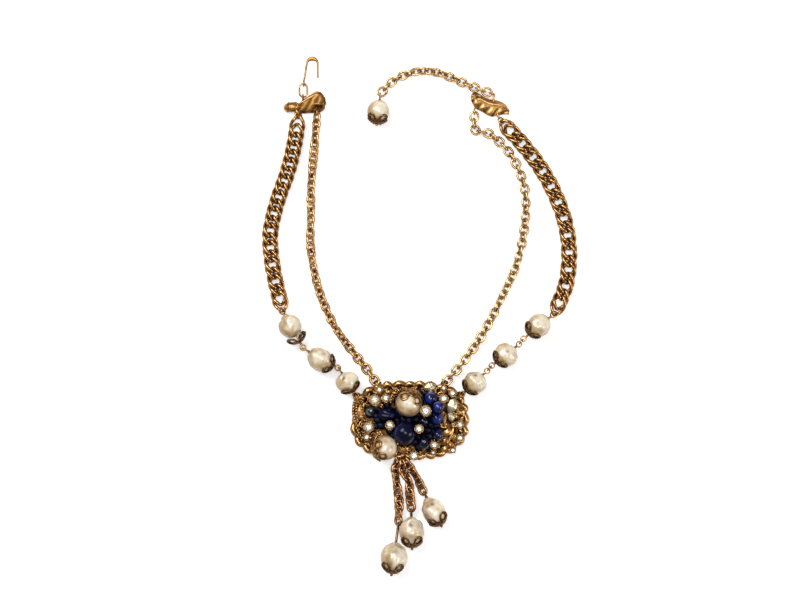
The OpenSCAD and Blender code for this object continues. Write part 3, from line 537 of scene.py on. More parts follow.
def glass_finish(name, deep, lit, gloss=0.1, coat=0.5, shine=0.5):
    """Dense coloured glass, lighter in streaks."""
    material, nodes, shader = blank_material(name)
    place = nodes.add("ShaderNodeTexCoord").outputs["Object"]
    swirl = nodes.add("ShaderNodeTexNoise", {"Vector": place, "Scale": 260.0, "Detail": 2.0,
                                             "Distortion": 0.6})
    scratch = nodes.add("ShaderNodeTexNoise", {"Vector": place, "Scale": 1400.0, "Detail": 2.0})
    sunk = nodes.add("ShaderNodeAttribute", attribute_name="sunk").outputs["Fac"]
    body = nodes.ramp(swirl.outputs["Fac"], [(0.42, deep), (0.78, lit)])
    wire_input(nodes, shader, "Base Color", nodes.mix(sunk, body, tuple(c * 0.2 for c in deep)))
    wire_input(nodes, shader, "Roughness",
               nodes.math("ADD", nodes.math("MULTIPLY", scratch.outputs["Fac"], 0.08), gloss))
    bump = nodes.add("ShaderNodeBump", {"Strength": 0.15, "Distance": 0.00005,
                                        "Height": scratch.outputs["Fac"]})
    wire_input(nodes, shader, "Normal", bump.outputs["Normal"])
    for socket, value in (("IOR", 1.55), ("Specular IOR Level", shine), ("Coat Weight", coat),
                          ("Coat Roughness", 0.12)):
        shader.inputs[socket].default_value = value
    return material


# Painted reflections of the facets, from dark grey to near white.
CRYSTAL_PAINTED_GLINTS = [(0.0, (0.06, 0.05, 0.04)), (0.22, (0.36, 0.26, 0.13)), (0.42, (0.58, 0.54, 0.44)),
                 (0.62, (0.74, 0.69, 0.56)), (1.0, (0.82, 0.80, 0.73))]


def crystal_finish(name):
    """Foil-backed cut glass: each facet is painted its own reflection, from dark grey to near white."""
    material, nodes, shader = blank_material(name)
    facet = nodes.add("ShaderNodeAttribute", attribute_name="facet").outputs["Fac"]
    tone = nodes.add("ShaderNodeAttribute", attribute_name="tone").outputs["Fac"]
    place = nodes.add("ShaderNodeTexCoord").outputs["Object"]
    cells = nodes.add("ShaderNodeTexVoronoi", {"Vector": place, "Scale": 1500.0, "Randomness": 1.0})
    inner = nodes.add("ShaderNodeSeparateXYZ", {0: cells.outputs["Color"]}).outputs[0]
    painted_glint = nodes.math("FRACT", nodes.math("ADD", nodes.math("ADD", facet, tone), inner))
    haze = nodes.add("ShaderNodeTexNoise", {"Vector": place, "Scale": 1800.0, "Detail": 1.0})
    wire_input(nodes, shader, "Base Color", nodes.ramp(painted_glint, CRYSTAL_PAINTED_GLINTS))
    wire_input(nodes, shader, "Roughness",
               nodes.math("ADD", nodes.math("MULTIPLY", haze.outputs["Fac"], 0.1), 0.04))
    for socket, value in (("Metallic", 0.2), ("Coat Weight", 0.35), ("Coat Roughness", 0.05)):
        shader.inputs[socket].default_value = value
    return material


def pale_surface(name, colour, glow=0.42):
    material, nodes, shader = blank_material(name)
    place = nodes.add("ShaderNodeTexCoord").outputs["Object"]
    grain = nodes.add("ShaderNodeTexNoise", {"Vector": place, "Scale": 60.0, "Detail": 2.0})
    near = tuple(c * 0.985 for c in colour)
    wire_input(nodes, shader, "Base Color", nodes.ramp(grain.outputs["Fac"], [(0.3, near), (0.7, colour)]))
    wire_input(nodes, shader, "Roughness", 0.85)
    # Painted light: the surface glows with light of its own, which pales the shadows of the necklace.
    shader.inputs["Emission Color"].default_value = (1.0, 0.995, 0.985, 1.0)
    shader.inputs["Emission Strength"].default_value = glow
    return material


FINISHES = {}


def finish_of(name):
    """The finish of that name, made once from the colours in the panel."""
    if name in FINISHES:
        return FINISHES[name]
    colours = bpy.context.scene.necklace_colours
    gold, bronze, brass = (tuple(getattr(colours, c)) for c in ("gold", "bronze", "brass"))
    recess = tuple(colours.recess)

    def shade(colour, k):
        return tuple(c * k for c in colour)

    def tinted(colour, tint):
        return tuple(c * k for c, k in zip(colour, tint))

    def browner(colour):
        return tinted(colour, (0.52, 0.38, 0.26))

    made = {
        "gold": lambda: metal_finish("antique_gold", gold, browner(gold), recess),
        "bright_gold": lambda: metal_finish("bright_gold", tuple(colours.bright_gold),
                                            browner(colours.bright_gold), recess, 0.25),
        "leaf_gold": lambda: metal_finish("leaf_gold", shade(gold, 1.06), shade(gold, 0.66), recess, 0.36,
                                          0.4, 0.88, 0.62),
        "leaf_bronze": lambda: metal_finish("leaf_bronze", tinted(gold, (0.92, 0.84, 0.70)),
                                            tinted(gold, (0.36, 0.34, 0.26)), recess, 0.34, 0.5, 0.9, 0.7),
        "ochre": lambda: metal_finish("ochre_wire", tinted(gold, (0.74, 0.70, 0.46)),
                                      tinted(gold, (0.40, 0.34, 0.20)), recess, 0.42, 0.5),
        "bronze": lambda: metal_finish("bronze_gold", bronze, browner(bronze), recess, 0.24),
        "red_gold": lambda: metal_finish("red_gold", tuple(colours.red_gold), browner(colours.red_gold),
                                         recess),
        "brass": lambda: metal_finish("dark_brass", brass, browner(brass), shade(recess, 0.7), 0.28, 0.7),
        "cap_gold": lambda: metal_finish("cap_gold", shade(gold, 0.66), shade(browner(gold), 0.7), recess,
                                         0.26, 0.7),
        "champagne": lambda: metal_finish("champagne_gold", tuple(colours.champagne),
                                          shade(colours.champagne, 0.8), recess, 0.34, 0.4, 0.62, 0.5),
        "pearl": lambda: pearl_finish("pearl", tuple(colours.pearl), tuple(colours.pearl_warm),
                                      tuple(colours.pearl_pit)),
        "blue": lambda: glass_finish("blue_glass", tuple(colours.blue_deep), tuple(colours.blue_lit), 0.14,
                                     0.1, 0.2),
        "cobalt": lambda: glass_finish("cobalt_glass", shade(colours.blue_lit, 0.5), tuple(colours.cobalt),
                                       0.1, 0.35, 0.4),
        "ink": lambda: glass_finish("ink_glass", shade(colours.blue_deep, 0.6), shade(colours.blue_lit, 0.28),
                                    0.3, 0.0, 0.14),
        "dark": lambda: glass_finish("dark_glass", (0.005, 0.007, 0.010), (0.030, 0.038, 0.048), 0.1),
        "crystal": lambda: crystal_finish("crystal"),
    }
    FINISHES[name] = made[name]()
    return FINISHES[name]


# Geometry trees
class Tree(Nodes):
    """A geometry tree with named inputs. It ends in Realize Instances and Set Material."""

    def __init__(self, name, inputs):
        super().__init__(bpy.data.node_groups.new(name, "GeometryNodeTree"))
        sockets = self.tree.interface
        sockets.new_socket("Geometry", in_out="INPUT", socket_type="NodeSocketGeometry")
        sockets.new_socket("Geometry", in_out="OUTPUT", socket_type="NodeSocketGeometry")
        for label, kind in (*inputs, ("Seed", "Int"), ("Material", "Material")):
            sockets.new_socket(label, in_out="INPUT", socket_type="NodeSocket" + kind)
        self.entry = self.add("NodeGroupInput").outputs

    def named(self, attribute, kind):
        node = self.add("GeometryNodeInputNamedAttribute", {"Name": attribute}, data_type=kind)
        return next((s for s in node.outputs if s.enabled), node.outputs[0])

    def store(self, geometry, attribute, value, domain):
        node = self.add("GeometryNodeStoreNamedAttribute",
                        {"Geometry": geometry, "Name": attribute, "Value": value},
                        data_type="FLOAT", domain=domain)
        return node.outputs[0]

    def close(self, instance):
        """Sets the instance on every point, by the points' own turn and size."""
        put = self.add("GeometryNodeInstanceOnPoints", {
            "Points": self.entry["Geometry"], "Instance": instance,
            "Rotation": self.add("FunctionNodeEulerToRotation",
                                 {0: self.named("turn", "FLOAT_VECTOR")}).outputs[0],
            "Scale": self.named("size", "FLOAT_VECTOR")}).outputs[0]
        tone = self.add("FunctionNodeRandomValue", {2: 0.0, 3: 1.0, 8: self.entry["Seed"]}, data_type="FLOAT")
        put = self.store(put, "tone", tone.outputs[1], "INSTANCE")
        put = self.add("GeometryNodeRealizeInstances", {0: put}).outputs[0]
        put = self.add("GeometryNodeSetMaterial",
                       {"Geometry": put, "Material": self.entry["Material"]}).outputs[0]
        self.tree.links.new(put, self.add("NodeGroupOutput").inputs[0])
        return self.tree


def round_link_tree():
    """Oval link of round wire, its long way on x, with painted shade on its inner side."""
    t = Tree("Round links", [("Ring radius", "Float"), ("Straight half", "Float"), ("Wire radius", "Float"),
                             ("Ring steps", "Int"), ("Wire steps", "Int")])
    ring = t.add("GeometryNodeCurvePrimitiveCircle",
                 {"Resolution": t.entry["Ring steps"], "Radius": t.entry["Ring radius"]}, mode="RADIUS")
    wire = t.add("GeometryNodeCurvePrimitiveCircle",
                 {"Resolution": t.entry["Wire steps"], "Radius": t.entry["Wire radius"]}, mode="RADIUS")
    round_place = t.add("ShaderNodeSeparateXYZ", {0: t.add("GeometryNodeInputPosition").outputs[0]}).outputs
    shift = t.math("MULTIPLY", t.math("DIVIDE", round_place[0], t.entry["Ring radius"]), 4.0)
    shift = t.math("MULTIPLY", t.math("MAXIMUM", t.math("MINIMUM", shift, 1.0), -1.0),
                   t.entry["Straight half"])
    oval = t.add("GeometryNodeSetPosition", {
        "Geometry": ring.outputs[0],
        "Offset": t.add("ShaderNodeCombineXYZ", {0: shift}).outputs[0]}).outputs[0]
    link = t.add("GeometryNodeCurveToMesh", {0: oval, 1: wire.outputs[0]}).outputs[0]
    place = t.add("ShaderNodeSeparateXYZ", {0: t.add("GeometryNodeInputPosition").outputs[0]}).outputs
    along = t.math("DIVIDE", place[0], t.math("ADD", t.entry["Ring radius"], t.entry["Straight half"]))
    across = t.math("DIVIDE", place[1], t.entry["Ring radius"])
    out = t.math("SQRT", t.math("ADD", t.math("MULTIPLY", along, along), t.math("MULTIPLY", across, across)))
    inward = t.math("DIVIDE", t.math("MULTIPLY", t.math("SUBTRACT", 1.0, out), t.entry["Ring radius"]),
                    t.entry["Wire radius"])
    link = t.store(link, "sunk", t.math("MULTIPLY", inward, 0.9, True), "POINT")
    link = t.add("GeometryNodeSetShadeSmooth", {0: link}).outputs[0]
    return t.close(link)


def twisted_link_tree():
    """Curb link: an oval of wire, twisted about its long axis."""
    t = Tree("Twisted links", [("Half length", "Float"), ("Half width", "Float"), ("Twist", "Float"),
                               ("Wire radius", "Float"), ("Link steps", "Int"), ("Wire steps", "Int")])
    oval = t.add("GeometryNodeCurvePrimitiveCircle",
                 {"Resolution": t.entry["Link steps"], "Radius": 1.0}, mode="RADIUS").outputs[0]
    wire = t.add("GeometryNodeCurvePrimitiveCircle",
                 {"Resolution": t.entry["Wire steps"], "Radius": t.entry["Wire radius"]}, mode="RADIUS")
    place = t.add("ShaderNodeSeparateXYZ", {0: t.add("GeometryNodeInputPosition").outputs[0]}).outputs
    x = t.math("MULTIPLY", place[0], t.entry["Half length"])
    side = t.math("MULTIPLY", place[1], t.entry["Half width"])
    lean = t.math("MULTIPLY", x, t.entry["Twist"])
    where = t.add("ShaderNodeCombineXYZ", {
        0: x, 1: t.math("MULTIPLY", side, t.math("COSINE", lean)),
        2: t.math("MULTIPLY", side, t.math("SINE", lean))}).outputs[0]
    oval = t.add("GeometryNodeSetPosition", {"Geometry": oval, "Position": where}).outputs[0]
    link = t.add("GeometryNodeCurveToMesh", {0: oval, 1: wire.outputs[0]}).outputs[0]
    spot = t.add("GeometryNodeInputPosition").outputs[0]
    after = t.add("ShaderNodeSeparateXYZ", {0: spot}).outputs
    facing = t.add("ShaderNodeSeparateXYZ", {0: t.add("GeometryNodeInputNormal").outputs[0]}).outputs
    # Painted shade on the inner side of the wire.
    inward = t.math("ADD", t.math("MULTIPLY", after[1], facing[1]), t.math("MULTIPLY", after[2], facing[2]))
    inward = t.math("DIVIDE", t.math("MULTIPLY", inward, -1.0), t.entry["Half width"])
    link = t.store(link, "sunk", t.math("MULTIPLY", inward, 0.9, True), "POINT")
    link = t.add("GeometryNodeSetShadeSmooth", {0: link}).outputs[0]
    return t.close(link)


def set_in_place_tree():
    """Sets a made shape on every point."""
    t = Tree("Set in place", [("Shape", "Object")])
    shape = t.add("GeometryNodeObjectInfo", {"Object": t.entry["Shape"]})
    return t.close(shape.outputs["Geometry"])


def grown(name, tree, values, places, turns, sizes, material, nodes=(), sharp=None):
    """Runs a tree on points and keeps its result as a plain mesh."""
    mesh = bpy.data.meshes.new(name)
    mesh.from_pydata((np.asarray(places, float) * MM).tolist(), [], [])
    for label, rows in (("turn", turns), ("size", sizes)):
        layer = mesh.attributes.new(label, "FLOAT_VECTOR", "POINT")
        layer.data.foreach_set("vector", np.asarray(rows, np.float32).ravel())
    obj = bpy.data.objects.new(name, mesh)
    bpy.context.scene.collection.objects.link(obj)
    modifier = obj.modifiers.new("grow", "NODES")
    modifier.node_group = tree
    values = {**values, "Seed": SEED, "Material": material}
    for socket in tree.interface.items_tree:
        if socket.in_out == "INPUT" and socket.name in values:
            modifier[socket.identifier] = values[socket.name]
    bpy.context.view_layer.update()
    ready = obj.evaluated_get(bpy.context.evaluated_depsgraph_get())
    result = bpy.data.meshes.new_from_object(ready)
    if not len(result.polygons):
        raise RuntimeError(f"{name}: the tree made nothing")
    obj.modifiers.clear()
    obj.data = result
    bpy.data.meshes.remove(mesh)
    result.name = name
    face_outwards(result)
    if sharp is not None:
        result.set_sharp_from_angle(angle=math.radians(sharp))
    return mounted(obj, nodes)


def face_outwards(mesh):
    """Turns a closed mesh whose faces all point inwards."""
    work = bmesh.new()
    work.from_mesh(mesh)
    if work.calc_volume(signed=True) < 0:
        bmesh.ops.reverse_faces(work, faces=work.faces)
        work.to_mesh(mesh)
    work.free()


def loose_solids(node):
    """Points of each separate solid of a CAD node, in millimetres, from a merged copy."""
    work = bmesh.new()
    work.from_mesh(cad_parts[node].data)
    bmesh.ops.remove_doubles(work, verts=work.verts, dist=1e-6)
    seen, solids = set(), []
    for first in work.verts:
        if first in seen:
            continue
        seen.add(first)
        group, reach = [], [first]
        while reach:
            v = reach.pop()
            group.append(v)
            for edge in v.link_edges:
                other = edge.other_vert(v)
                if other not in seen:
                    seen.add(other)
                    reach.append(other)
        solids.append(np.array([v.co for v in group]) / MM)
    work.free()
    return solids


def link_places(node):
    """Middle and turn of each link of a chain: x along the link, z across its plane."""
    solids = loose_solids(node)
    middles = np.array([points.mean(0) for points in solids])
    turns = []
    for middle, points in zip(middles, solids):
        _, spread, axes = np.linalg.svd(points - middle, full_matrices=False)
        long, thin = axes[0], axes[2]
        if spread[0] < 1.08 * spread[1]:  # a round link: its neighbours give the long way
            near = np.argsort(np.linalg.norm(middles - middle, axis=1))[:3]
            far = max(near[1:], key=lambda i: np.linalg.norm(middles[i] - middles[near[1]]))
            other = middle if np.linalg.norm(middles[far] - middle) > PITCH_LIMIT else middles[far]
            long = middles[near[1]] - other
        long = unit(long - thin * np.dot(long, thin))
        frame_of = np.column_stack((long, np.cross(thin, long), thin))
        turns.append(list(Matrix(frame_of.tolist()).to_euler()))
    return middles, turns


def uneven(places, turns, most, above, half, ring, wire):
    """Rolls each link a little about its long way, as a worn chain lies. Above a y the links stand like the
    strands of a rope, half way between flat and upright. None sinks into the surface."""
    chance = np.random.default_rng(SEED)
    for i, roll in enumerate(chance.uniform(-most, most, len(turns))):
        turn = Euler(turns[i]).to_matrix()
        along, face = turn.col[0], turn.col[2]
        side = Vector((0, 0, 1)).cross(along).normalized()
        now = math.degrees(math.atan2(-face.dot(side), face.dot(along.cross(side))))
        half_way = (45 + 90 * (i % 2) - now + 90) % 180 - 90
        roll += half_way * float(smooth_step(above, above + 22, places[i][1]))
        turn = turn @ Matrix.Rotation(math.radians(roll), 3, "X")
        turns[i] = list(turn.to_euler())
        upright = math.sqrt(max(0.0, 1 - turn[2][2] ** 2))
        places[i][2] = max(places[i][2], half * abs(turn[2][0]) + ring * upright + wire)


# Pearls, caps and pins
def pearl_radius(row, t, q):
    """The pearl's own form: how far its skin is from the middle, as a share of a plain one."""
    lobes, lobe_depth, groove_at, groove_depth, turn = row["form"]
    t, q = np.degrees(t), np.degrees(q)
    lobe = lobe_depth * (0.5 + 0.5 * np.cos(np.radians(lobes * q + turn + 40 * np.cos(np.radians(t)))))
    lobe = lobe * np.sin(np.radians(t))
    return 1 - lobe - groove_depth * np.exp(-((t - groove_at) / 11) ** 2)


def pearl_points(row, t, q, lift=0.0):
    size = row["size"]
    k = pearl_radius(row, t, q) / 2
    flat = np.stack((np.sin(t) * np.cos(q) * size[0], np.sin(t) * np.sin(q) * size[1],
                     np.cos(t) * size[2]), -1)
    points = flat * k[..., None]
    if lift is not None:
        points = points * (1 + lift / np.linalg.norm(points, axis=-1))[..., None]
    return points


def pearl_shape(name, rings=64, sides=96):
    row = PEARLS[name]
    turn = turned(row["start"], row["end"])
    t = np.linspace(0, math.pi, rings + 1)[1:-1]
    q = np.arange(sides) * FULL_TURN / sides
    tt, qq = np.meshgrid(t, q, indexing="ij")
    body = pearl_points(row, tt, qq).reshape(-1, 3)
    poles = pearl_points(row, np.array([0.0, math.pi]), np.zeros(2))
    local = np.vstack((body, poles))
    points = local @ turn.T
    way = points / np.linalg.norm(points, axis=1)[:, None]
    out = np.linalg.norm(points, axis=1)
    radius = float(out.mean())
    sunk = np.zeros(len(points))
    rise = np.zeros(len(points))
    for x, y, width, height in MARKS[name]:
        spot = unit((x, y, math.sqrt(max(radius ** 2 - x * x - y * y, 0.2))))
        far = np.arccos(np.clip(way @ spot, -1, 1)) * radius
        bell = np.exp(-(far / width) ** 2)
        rise += height * bell
        if height < 0:
            sunk += bell * min(0.9, -height * 1.9)
    rough = 0.6 if name in ("centre", "lower", "extender") else 1.0
    offset = 13.7 * (sorted(PEARLS).index(name) + 1)
    for i, w in enumerate(way):
        v = Vector(w) * 1.9 + Vector((offset, 0, 0))
        dent = noise.noise(v) * 0.26 + noise.noise(v * 2.3) * 0.03
        fold = 0.05 - abs(noise.noise(v * 0.9 + Vector((0, 5, 0)))) * 0.30
        crease = smooth_step(0.0, 0.05, fold)
        rise[i] += rough * (dent - 0.06 * crease)
        sunk[i] += 0.10 * rough * crease
    points = points + way * rise[:, None]
    sides_faces = band_faces(len(t), sides)
    first, last = len(body), len(body) + 1
    faces = [tuple(reversed(f)) for f in sides_faces]
    faces += [(first, k, (k + 1) % sides) for k in range(sides)]
    top = (len(t) - 1) * sides
    faces += [(last, top + (k + 1) % sides, top + k) for k in range(sides)]
    shape = Shape()
    shape.add(points + row["centre"], faces, np.clip(sunk, 0, 1))
    return shape


def cap_shape(name, petal_wire, petal_reach):
    """Domed middle with four looped petals that lie on the pearl."""
    row = PEARLS[name]
    turn = turned(row["start"], row["end"])
    shift = row["centre"] + turn @ np.array((0, 0, row["gap"]))
    shape = Shape()

    def put(points, faces, sunk):
        shape.add(np.asarray(points) @ turn.T + shift, faces, sunk)

    top = row["size"][2] / 2 + 0.1
    profile = [(0, top + 0.02), (0.55, top), (1.2, top), (2.2, top - 0.36), (3.0, top - 0.72),
               (3.16, top - 0.62),
               (3.12, top - 0.38), (2.8, top - 0.02), (2.2, top + 0.36), (1.5, top + 0.62),
               (1.25, top + 0.72), (1.05, top + 0.66), (0.8, top + 0.7), (0.5, top + 0.72), (0, top + 0.7)]
    # Darkness along the profile: painted shade on the underside that lies on the pearl and in the groove
    # round the top.
    dark = [1, 1, 1, 1, 0.8, 0.3, 0.1, 0.35, 0.6, 0.3, 0.0, 0.8, 0.5, 0.2, 0.2]
    sides = 64
    points, faces, sunk = lathe(profile, sides, sunk=dark)
    angle = np.arctan2(points[:, 1], points[:, 0])
    reach = np.hypot(points[:, 0], points[:, 1])
    band = smooth_step(1.2, 2.6, reach)
    wave = np.cos(8 * angle)
    points[:, 2] += 0.09 * wave * band
    stretch = 1 + 0.05 * wave * smooth_step(2.2, 3.1, reach)
    points[:, 0] *= stretch
    points[:, 1] *= stretch
    # Painted shade in the troughs of the wave.
    put(points, faces, np.clip(sunk + 0.45 * band * (wave < -0.2), 0, 1))

    steps = 36
    s = np.arange(steps) * FULL_TURN / steps
    for q0 in np.radians((45, 135, 225, 315)):
        wide = row["size"][0] / 2
        along_leaf = petal_reach * np.cos(s) + 0.12
        across = petal_reach * 0.92 * np.sin(s) * (1 + 0.22 * np.cos(s))
        t = math.radians(PETAL_ANGLE) + along_leaf / wide
        q = q0 + across / (wide * np.sin(np.maximum(t, 0.25)))
        tip = smooth_step(0.2, 1.0, np.cos(s))
        for wire, inset, lift in ((petal_wire, 0.0, 0.30), (petal_wire * 0.42, 0.30, 0.08)):
            tt = math.radians(PETAL_ANGLE) + (along_leaf * (1 - inset)) / wide
            qq = q0 + (q - q0) * (1 - inset)
            path = pearl_points(row, tt, qq, wire * 0.72 + lift * (0.7 + 0.5 * tip))
            up = path / np.linalg.norm(path, axis=1)[:, None]
            core = path.mean(0)
            put(*tube(path, wire, 10, True, up=up, flat=0.72, core=core))
        knot = pearl_points(row, np.array([math.radians(PETAL_ANGLE) - 1.0 * petal_reach / wide]),
                            np.array([q0]), 0.75)[0]
        put(*ball(knot, 0.42, 12))
    return shape


def eye_parts(radius, wire, turn, height, way, wraps=2):
    """Eye of a pin at a height on its axis, closed by a few turns of its own wire round the shank."""
    a = np.array((math.cos(turn), math.sin(turn), 0.0))
    z = np.array((0.0, 0.0, 1.0))
    middle = np.array((0, 0, height))
    parts = [tube(ring_path(middle, a, z, radius, 36), wire, 10, True, core=middle)]
    if wraps:
        steps = 14 * wraps
        s = np.arange(steps + 1) / 14
        thin = 0.2
        r = 0.3 + thin * 0.8
        rise = height + way * (radius + wire * 0.4 + thin + s * thin * 1.9)
        coil = np.column_stack((r * np.cos(FULL_TURN * s), r * np.sin(FULL_TURN * s), rise))
        parts.append(tube(coil, thin, 8))
    return parts


def pin_shape(names, kinds, shank):
    shape = Shape()
    for name, (start_r, start_turn, end_turn) in zip(names, kinds):
        row = PEARLS[name]
        turn = turned(row["start"], row["end"])
        length = float(np.linalg.norm(row["end"] - row["start"]))
        parts = eye_parts(start_r, EYE_WIRE, math.radians(start_turn), 0.0, 1)
        if end_turn is None:
            parts.append(ball((0, 0, length), HEAD_R, 20))
            stop = length
        else:
            parts += eye_parts(EYE_R, EYE_WIRE, math.radians(end_turn), length, -1)
            stop = length - EYE_R
        parts.append(tube([(0, 0, z) for z in np.linspace(start_r, stop, 6)], shank, 12))
        for points, faces, sunk in parts:
            shape.add(points @ turn.T + row["start"], faces, sunk)
    return shape


# Leaves and flowers
def dome_height(x, y, length, rise):
    r = (length ** 2 / 4 + rise ** 2) / (2 * rise)
    return LEAF_T + rise - r + np.sqrt(np.maximum(r * r - x * x - y * y, 0.01))


def leaf_parts(length, width, rise, veins=6, serration=0.0, bow=0.0, rib=0.22, rows=49, columns=25, thick=0.5,
               vein=1.0):
    """Veined leaf that arches as the part's own does: tip to tip along x, its lowest edge at z = 0."""
    u = np.linspace(0.004, 0.996, rows)
    v = np.linspace(-1, 1, columns)
    uu, vv = np.meshgrid(u, v, indexing="ij")
    half = width / 2 * np.sin(math.pi * uu) ** 0.72
    half = half * (1 + serration * np.abs(np.sin(veins * math.pi * (uu - 0.02))) - serration)
    x = length * (uu - 0.5)
    y = vv * half
    slope = np.cos(2 * math.pi * veins * (uu + 0.14 * np.abs(vv)))
    relief = rib * np.exp(-(vv / 0.10) ** 2) + 0.10 * vein * slope * smooth_step(0.1, 0.4, np.abs(vv))
    relief = relief * np.sin(math.pi * uu) ** 0.5
    z = dome_height(x, y, length, rise) + relief - 0.25 * rise * np.abs(vv) ** 3
    # Painted shade and patina in the valleys between the veins; painted shade along the edges and in a line
    # beside the rib.
    dark = 0.75 * vein * smooth_step(0.3, -0.8, slope) * smooth_step(0.08, 0.3, np.abs(vv))
    dark = dark + 0.8 * smooth_step(0.84, 1.0, np.abs(vv))
    dark = dark + 0.6 * np.exp(-((np.abs(vv) - 0.17) / 0.06) ** 2)
    y = y + bow * (1 - (2 * uu - 1) ** 2) - bow / 2
    return sheet(np.stack((x, y, z), -1), rows, columns, thick, np.clip(dark, 0, 1))


def set_leaf(shape, x, y, foot, turn, parts):
    points, faces, sunk = parts
    spin = np.array(Matrix.Rotation(math.radians(turn), 3, "Z"))
    shape.add(points @ spin.T + np.array((x, y, foot)), faces, sunk)


def flower_shape(x, y, r, foot, petals=6):
    """Small stamped flower: cupped petals round a beaded middle."""
    shape = Shape()
    shape.add(*lathe([(0, foot), (0.72 * r, foot), (0.78 * r, foot + 0.2), (0.7 * r, foot + 0.5),
                      (0, foot + 0.5)],
                     32, (x, y, 0), [1, 1, 1, 1, 1]))
    rows, columns = 15, 13
    u = np.linspace(0, 1, rows)
    v = np.linspace(-1, 1, columns)
    uu, vv = np.meshgrid(u, v, indexing="ij")
    for k in range(petals):
        q = FULL_TURN * k / petals
        reach = r * (0.28 + 0.70 * uu)
        half = 0.40 * r * np.sqrt(np.maximum(1 - (1.7 * uu - 0.85) ** 2, 0.02))
        px, py = reach, vv * half
        z = foot + 0.62 + 0.34 * uu ** 2 + 0.26 * vv ** 2 * uu - 0.06 * np.exp(-(vv / 0.16) ** 2)
        # Painted shade at the petals' feet and down their middles; the base under the petals and the beads of
        # the middle are darkened too.
        dark = 0.45 * np.exp(-(vv / 0.16) ** 2) * (1 - uu) + 0.9 * smooth_step(0.5, 0.1, uu)
        points, faces, sunk = sheet(np.stack((px, py, z), -1), rows, columns, 0.28, np.clip(dark, 0, 1))
        spin = np.array(Matrix.Rotation(q, 3, "Z"))
        shape.add(points @ spin.T + np.array((x, y, 0)), faces, sunk)
    for k in range(7):
        q = FULL_TURN * k / 6
        ring = 0.0 if k == 6 else 0.26 * r
        spot = (x + ring * math.cos(q), y + ring * math.sin(q), foot + (1.0 if k == 6 else 0.82))
        points, faces, _ = ball(spot, 0.13 * r if k < 6 else 0.19 * r, 12)
        shape.add(points, faces, 0.75)
    return shape


def edged_leaf_parts(stations, base, crown, thick, relief, rows=56, columns=29):
    """Leaf between two given edges: rows of (x, y) on one side and (x, y) on the other."""
    one = np.array([s[0] for s in stations], float)
    two = np.array([s[1] for s in stations], float)
    at = np.linspace(0, len(stations) - 1, rows)

    def eased(points):
        i = np.clip(at.astype(int), 0, len(stations) - 2)
        f = (at - i)[:, None]
        p0 = points[np.maximum(i - 1, 0)]
        p1, p2 = points[i], points[i + 1]
        p3 = points[np.minimum(i + 2, len(stations) - 1)]
        return 0.5 * (2 * p1 + (p2 - p0) * f + (2 * p0 - 5 * p1 + 4 * p2 - p3) * f ** 2
                      + (3 * p1 - p0 - 3 * p2 + p3) * f ** 3)

    a, b = eased(one), eased(two)
    v = np.linspace(0, 1, columns)
    grid = a[:, None, :] * (1 - v)[None, :, None] + b[:, None, :] * v[None, :, None]
    u = np.linspace(0, 1, rows)
    uu, vv = np.meshgrid(u, v, indexing="ij")
    across = np.sqrt(np.maximum(1 - (2 * vv - 1) ** 2, 0)) ** 0.9
    arch = across * np.sqrt(np.maximum(1 - (2 * uu - 1) ** 4, 0))
    z, dark = relief(uu, vv, grid[..., 0], grid[..., 1])
    z = base + crown * arch + z
    return sheet(np.dstack((grid, z))[:, ::-1], rows, columns, thick, np.clip(dark, 0, 1)[:, ::-1])


# Centrepiece
def bulge(v):
    return math.copysign(abs(v) ** (2 / PLATE_POWER), v)


def rim_line(steps=480):
    t = np.arange(steps) * FULL_TURN / steps
    line = np.array([(PLATE_X * bulge(math.cos(a)) + 0.2, PLATE_Y * bulge(math.sin(a)) + 0.3) for a in t])
    return line


def along_rim(share):
    """Point of the rim at a share of its length, with the direction of the rim there."""
    line = rim_line()
    closed = np.vstack((line, line[:1]))
    run = np.concatenate(([0], np.cumsum(np.linalg.norm(np.diff(closed, axis=0), axis=1))))
    s = (share % 1.0) * run[-1]
    point = np.array([np.interp(s, run, closed[:, 0]), np.interp(s, run, closed[:, 1])])
    ahead = np.array([np.interp((s + 0.5) % run[-1], run, closed[:, i]) - point[i] for i in (0, 1)])
    return point, math.atan2(ahead[1], ahead[0])


def brilliant_shape():
    """Cut stone one millimetre in radius: table, star, kite and girdle facets, and a short pavilion."""
    points, faces = [], []
    for k in range(8):
        a = FULL_TURN * k / 8
        points.append((0.55 * math.cos(a), 0.55 * math.sin(a), 0.45))
    for k in range(8):
        a = FULL_TURN * (k + 0.5) / 8
        points.append((0.80 * math.cos(a), 0.80 * math.sin(a), 0.29))
    for z in (0.12, 0.0):
        for k in range(16):
            a = FULL_TURN * k / 16
            points.append((math.cos(a), math.sin(a), z))
    for k in range(8):
        a = FULL_TURN * k / 8
        points.append((0.3 * math.cos(a), 0.3 * math.sin(a), -0.42))
    faces.append(tuple(range(8)))
    for k in range(8):
        n = (k + 1) % 8
        star, girdle, last = 8 + k, 16 + 2 * k, 16 + (2 * k + 2) % 16
        faces.append((k, star, n))
        faces.append((k, 8 + (k - 1) % 8, girdle, star))
        faces.append((star, girdle, girdle + 1))
        faces.append((star, girdle + 1, last))
        for g in (2 * k, 2 * k + 1):
            h = (g + 1) % 16
            faces.append((16 + g, 32 + g, 32 + h, 16 + h))
        faces.append((32 + 2 * k, 48 + k, 32 + 2 * k + 1))
        faces.append((32 + 2 * k + 1, 48 + k, 48 + n, 32 + (2 * k + 2) % 16))
    faces.append(tuple(range(48, 56))[::-1])
    return points, faces


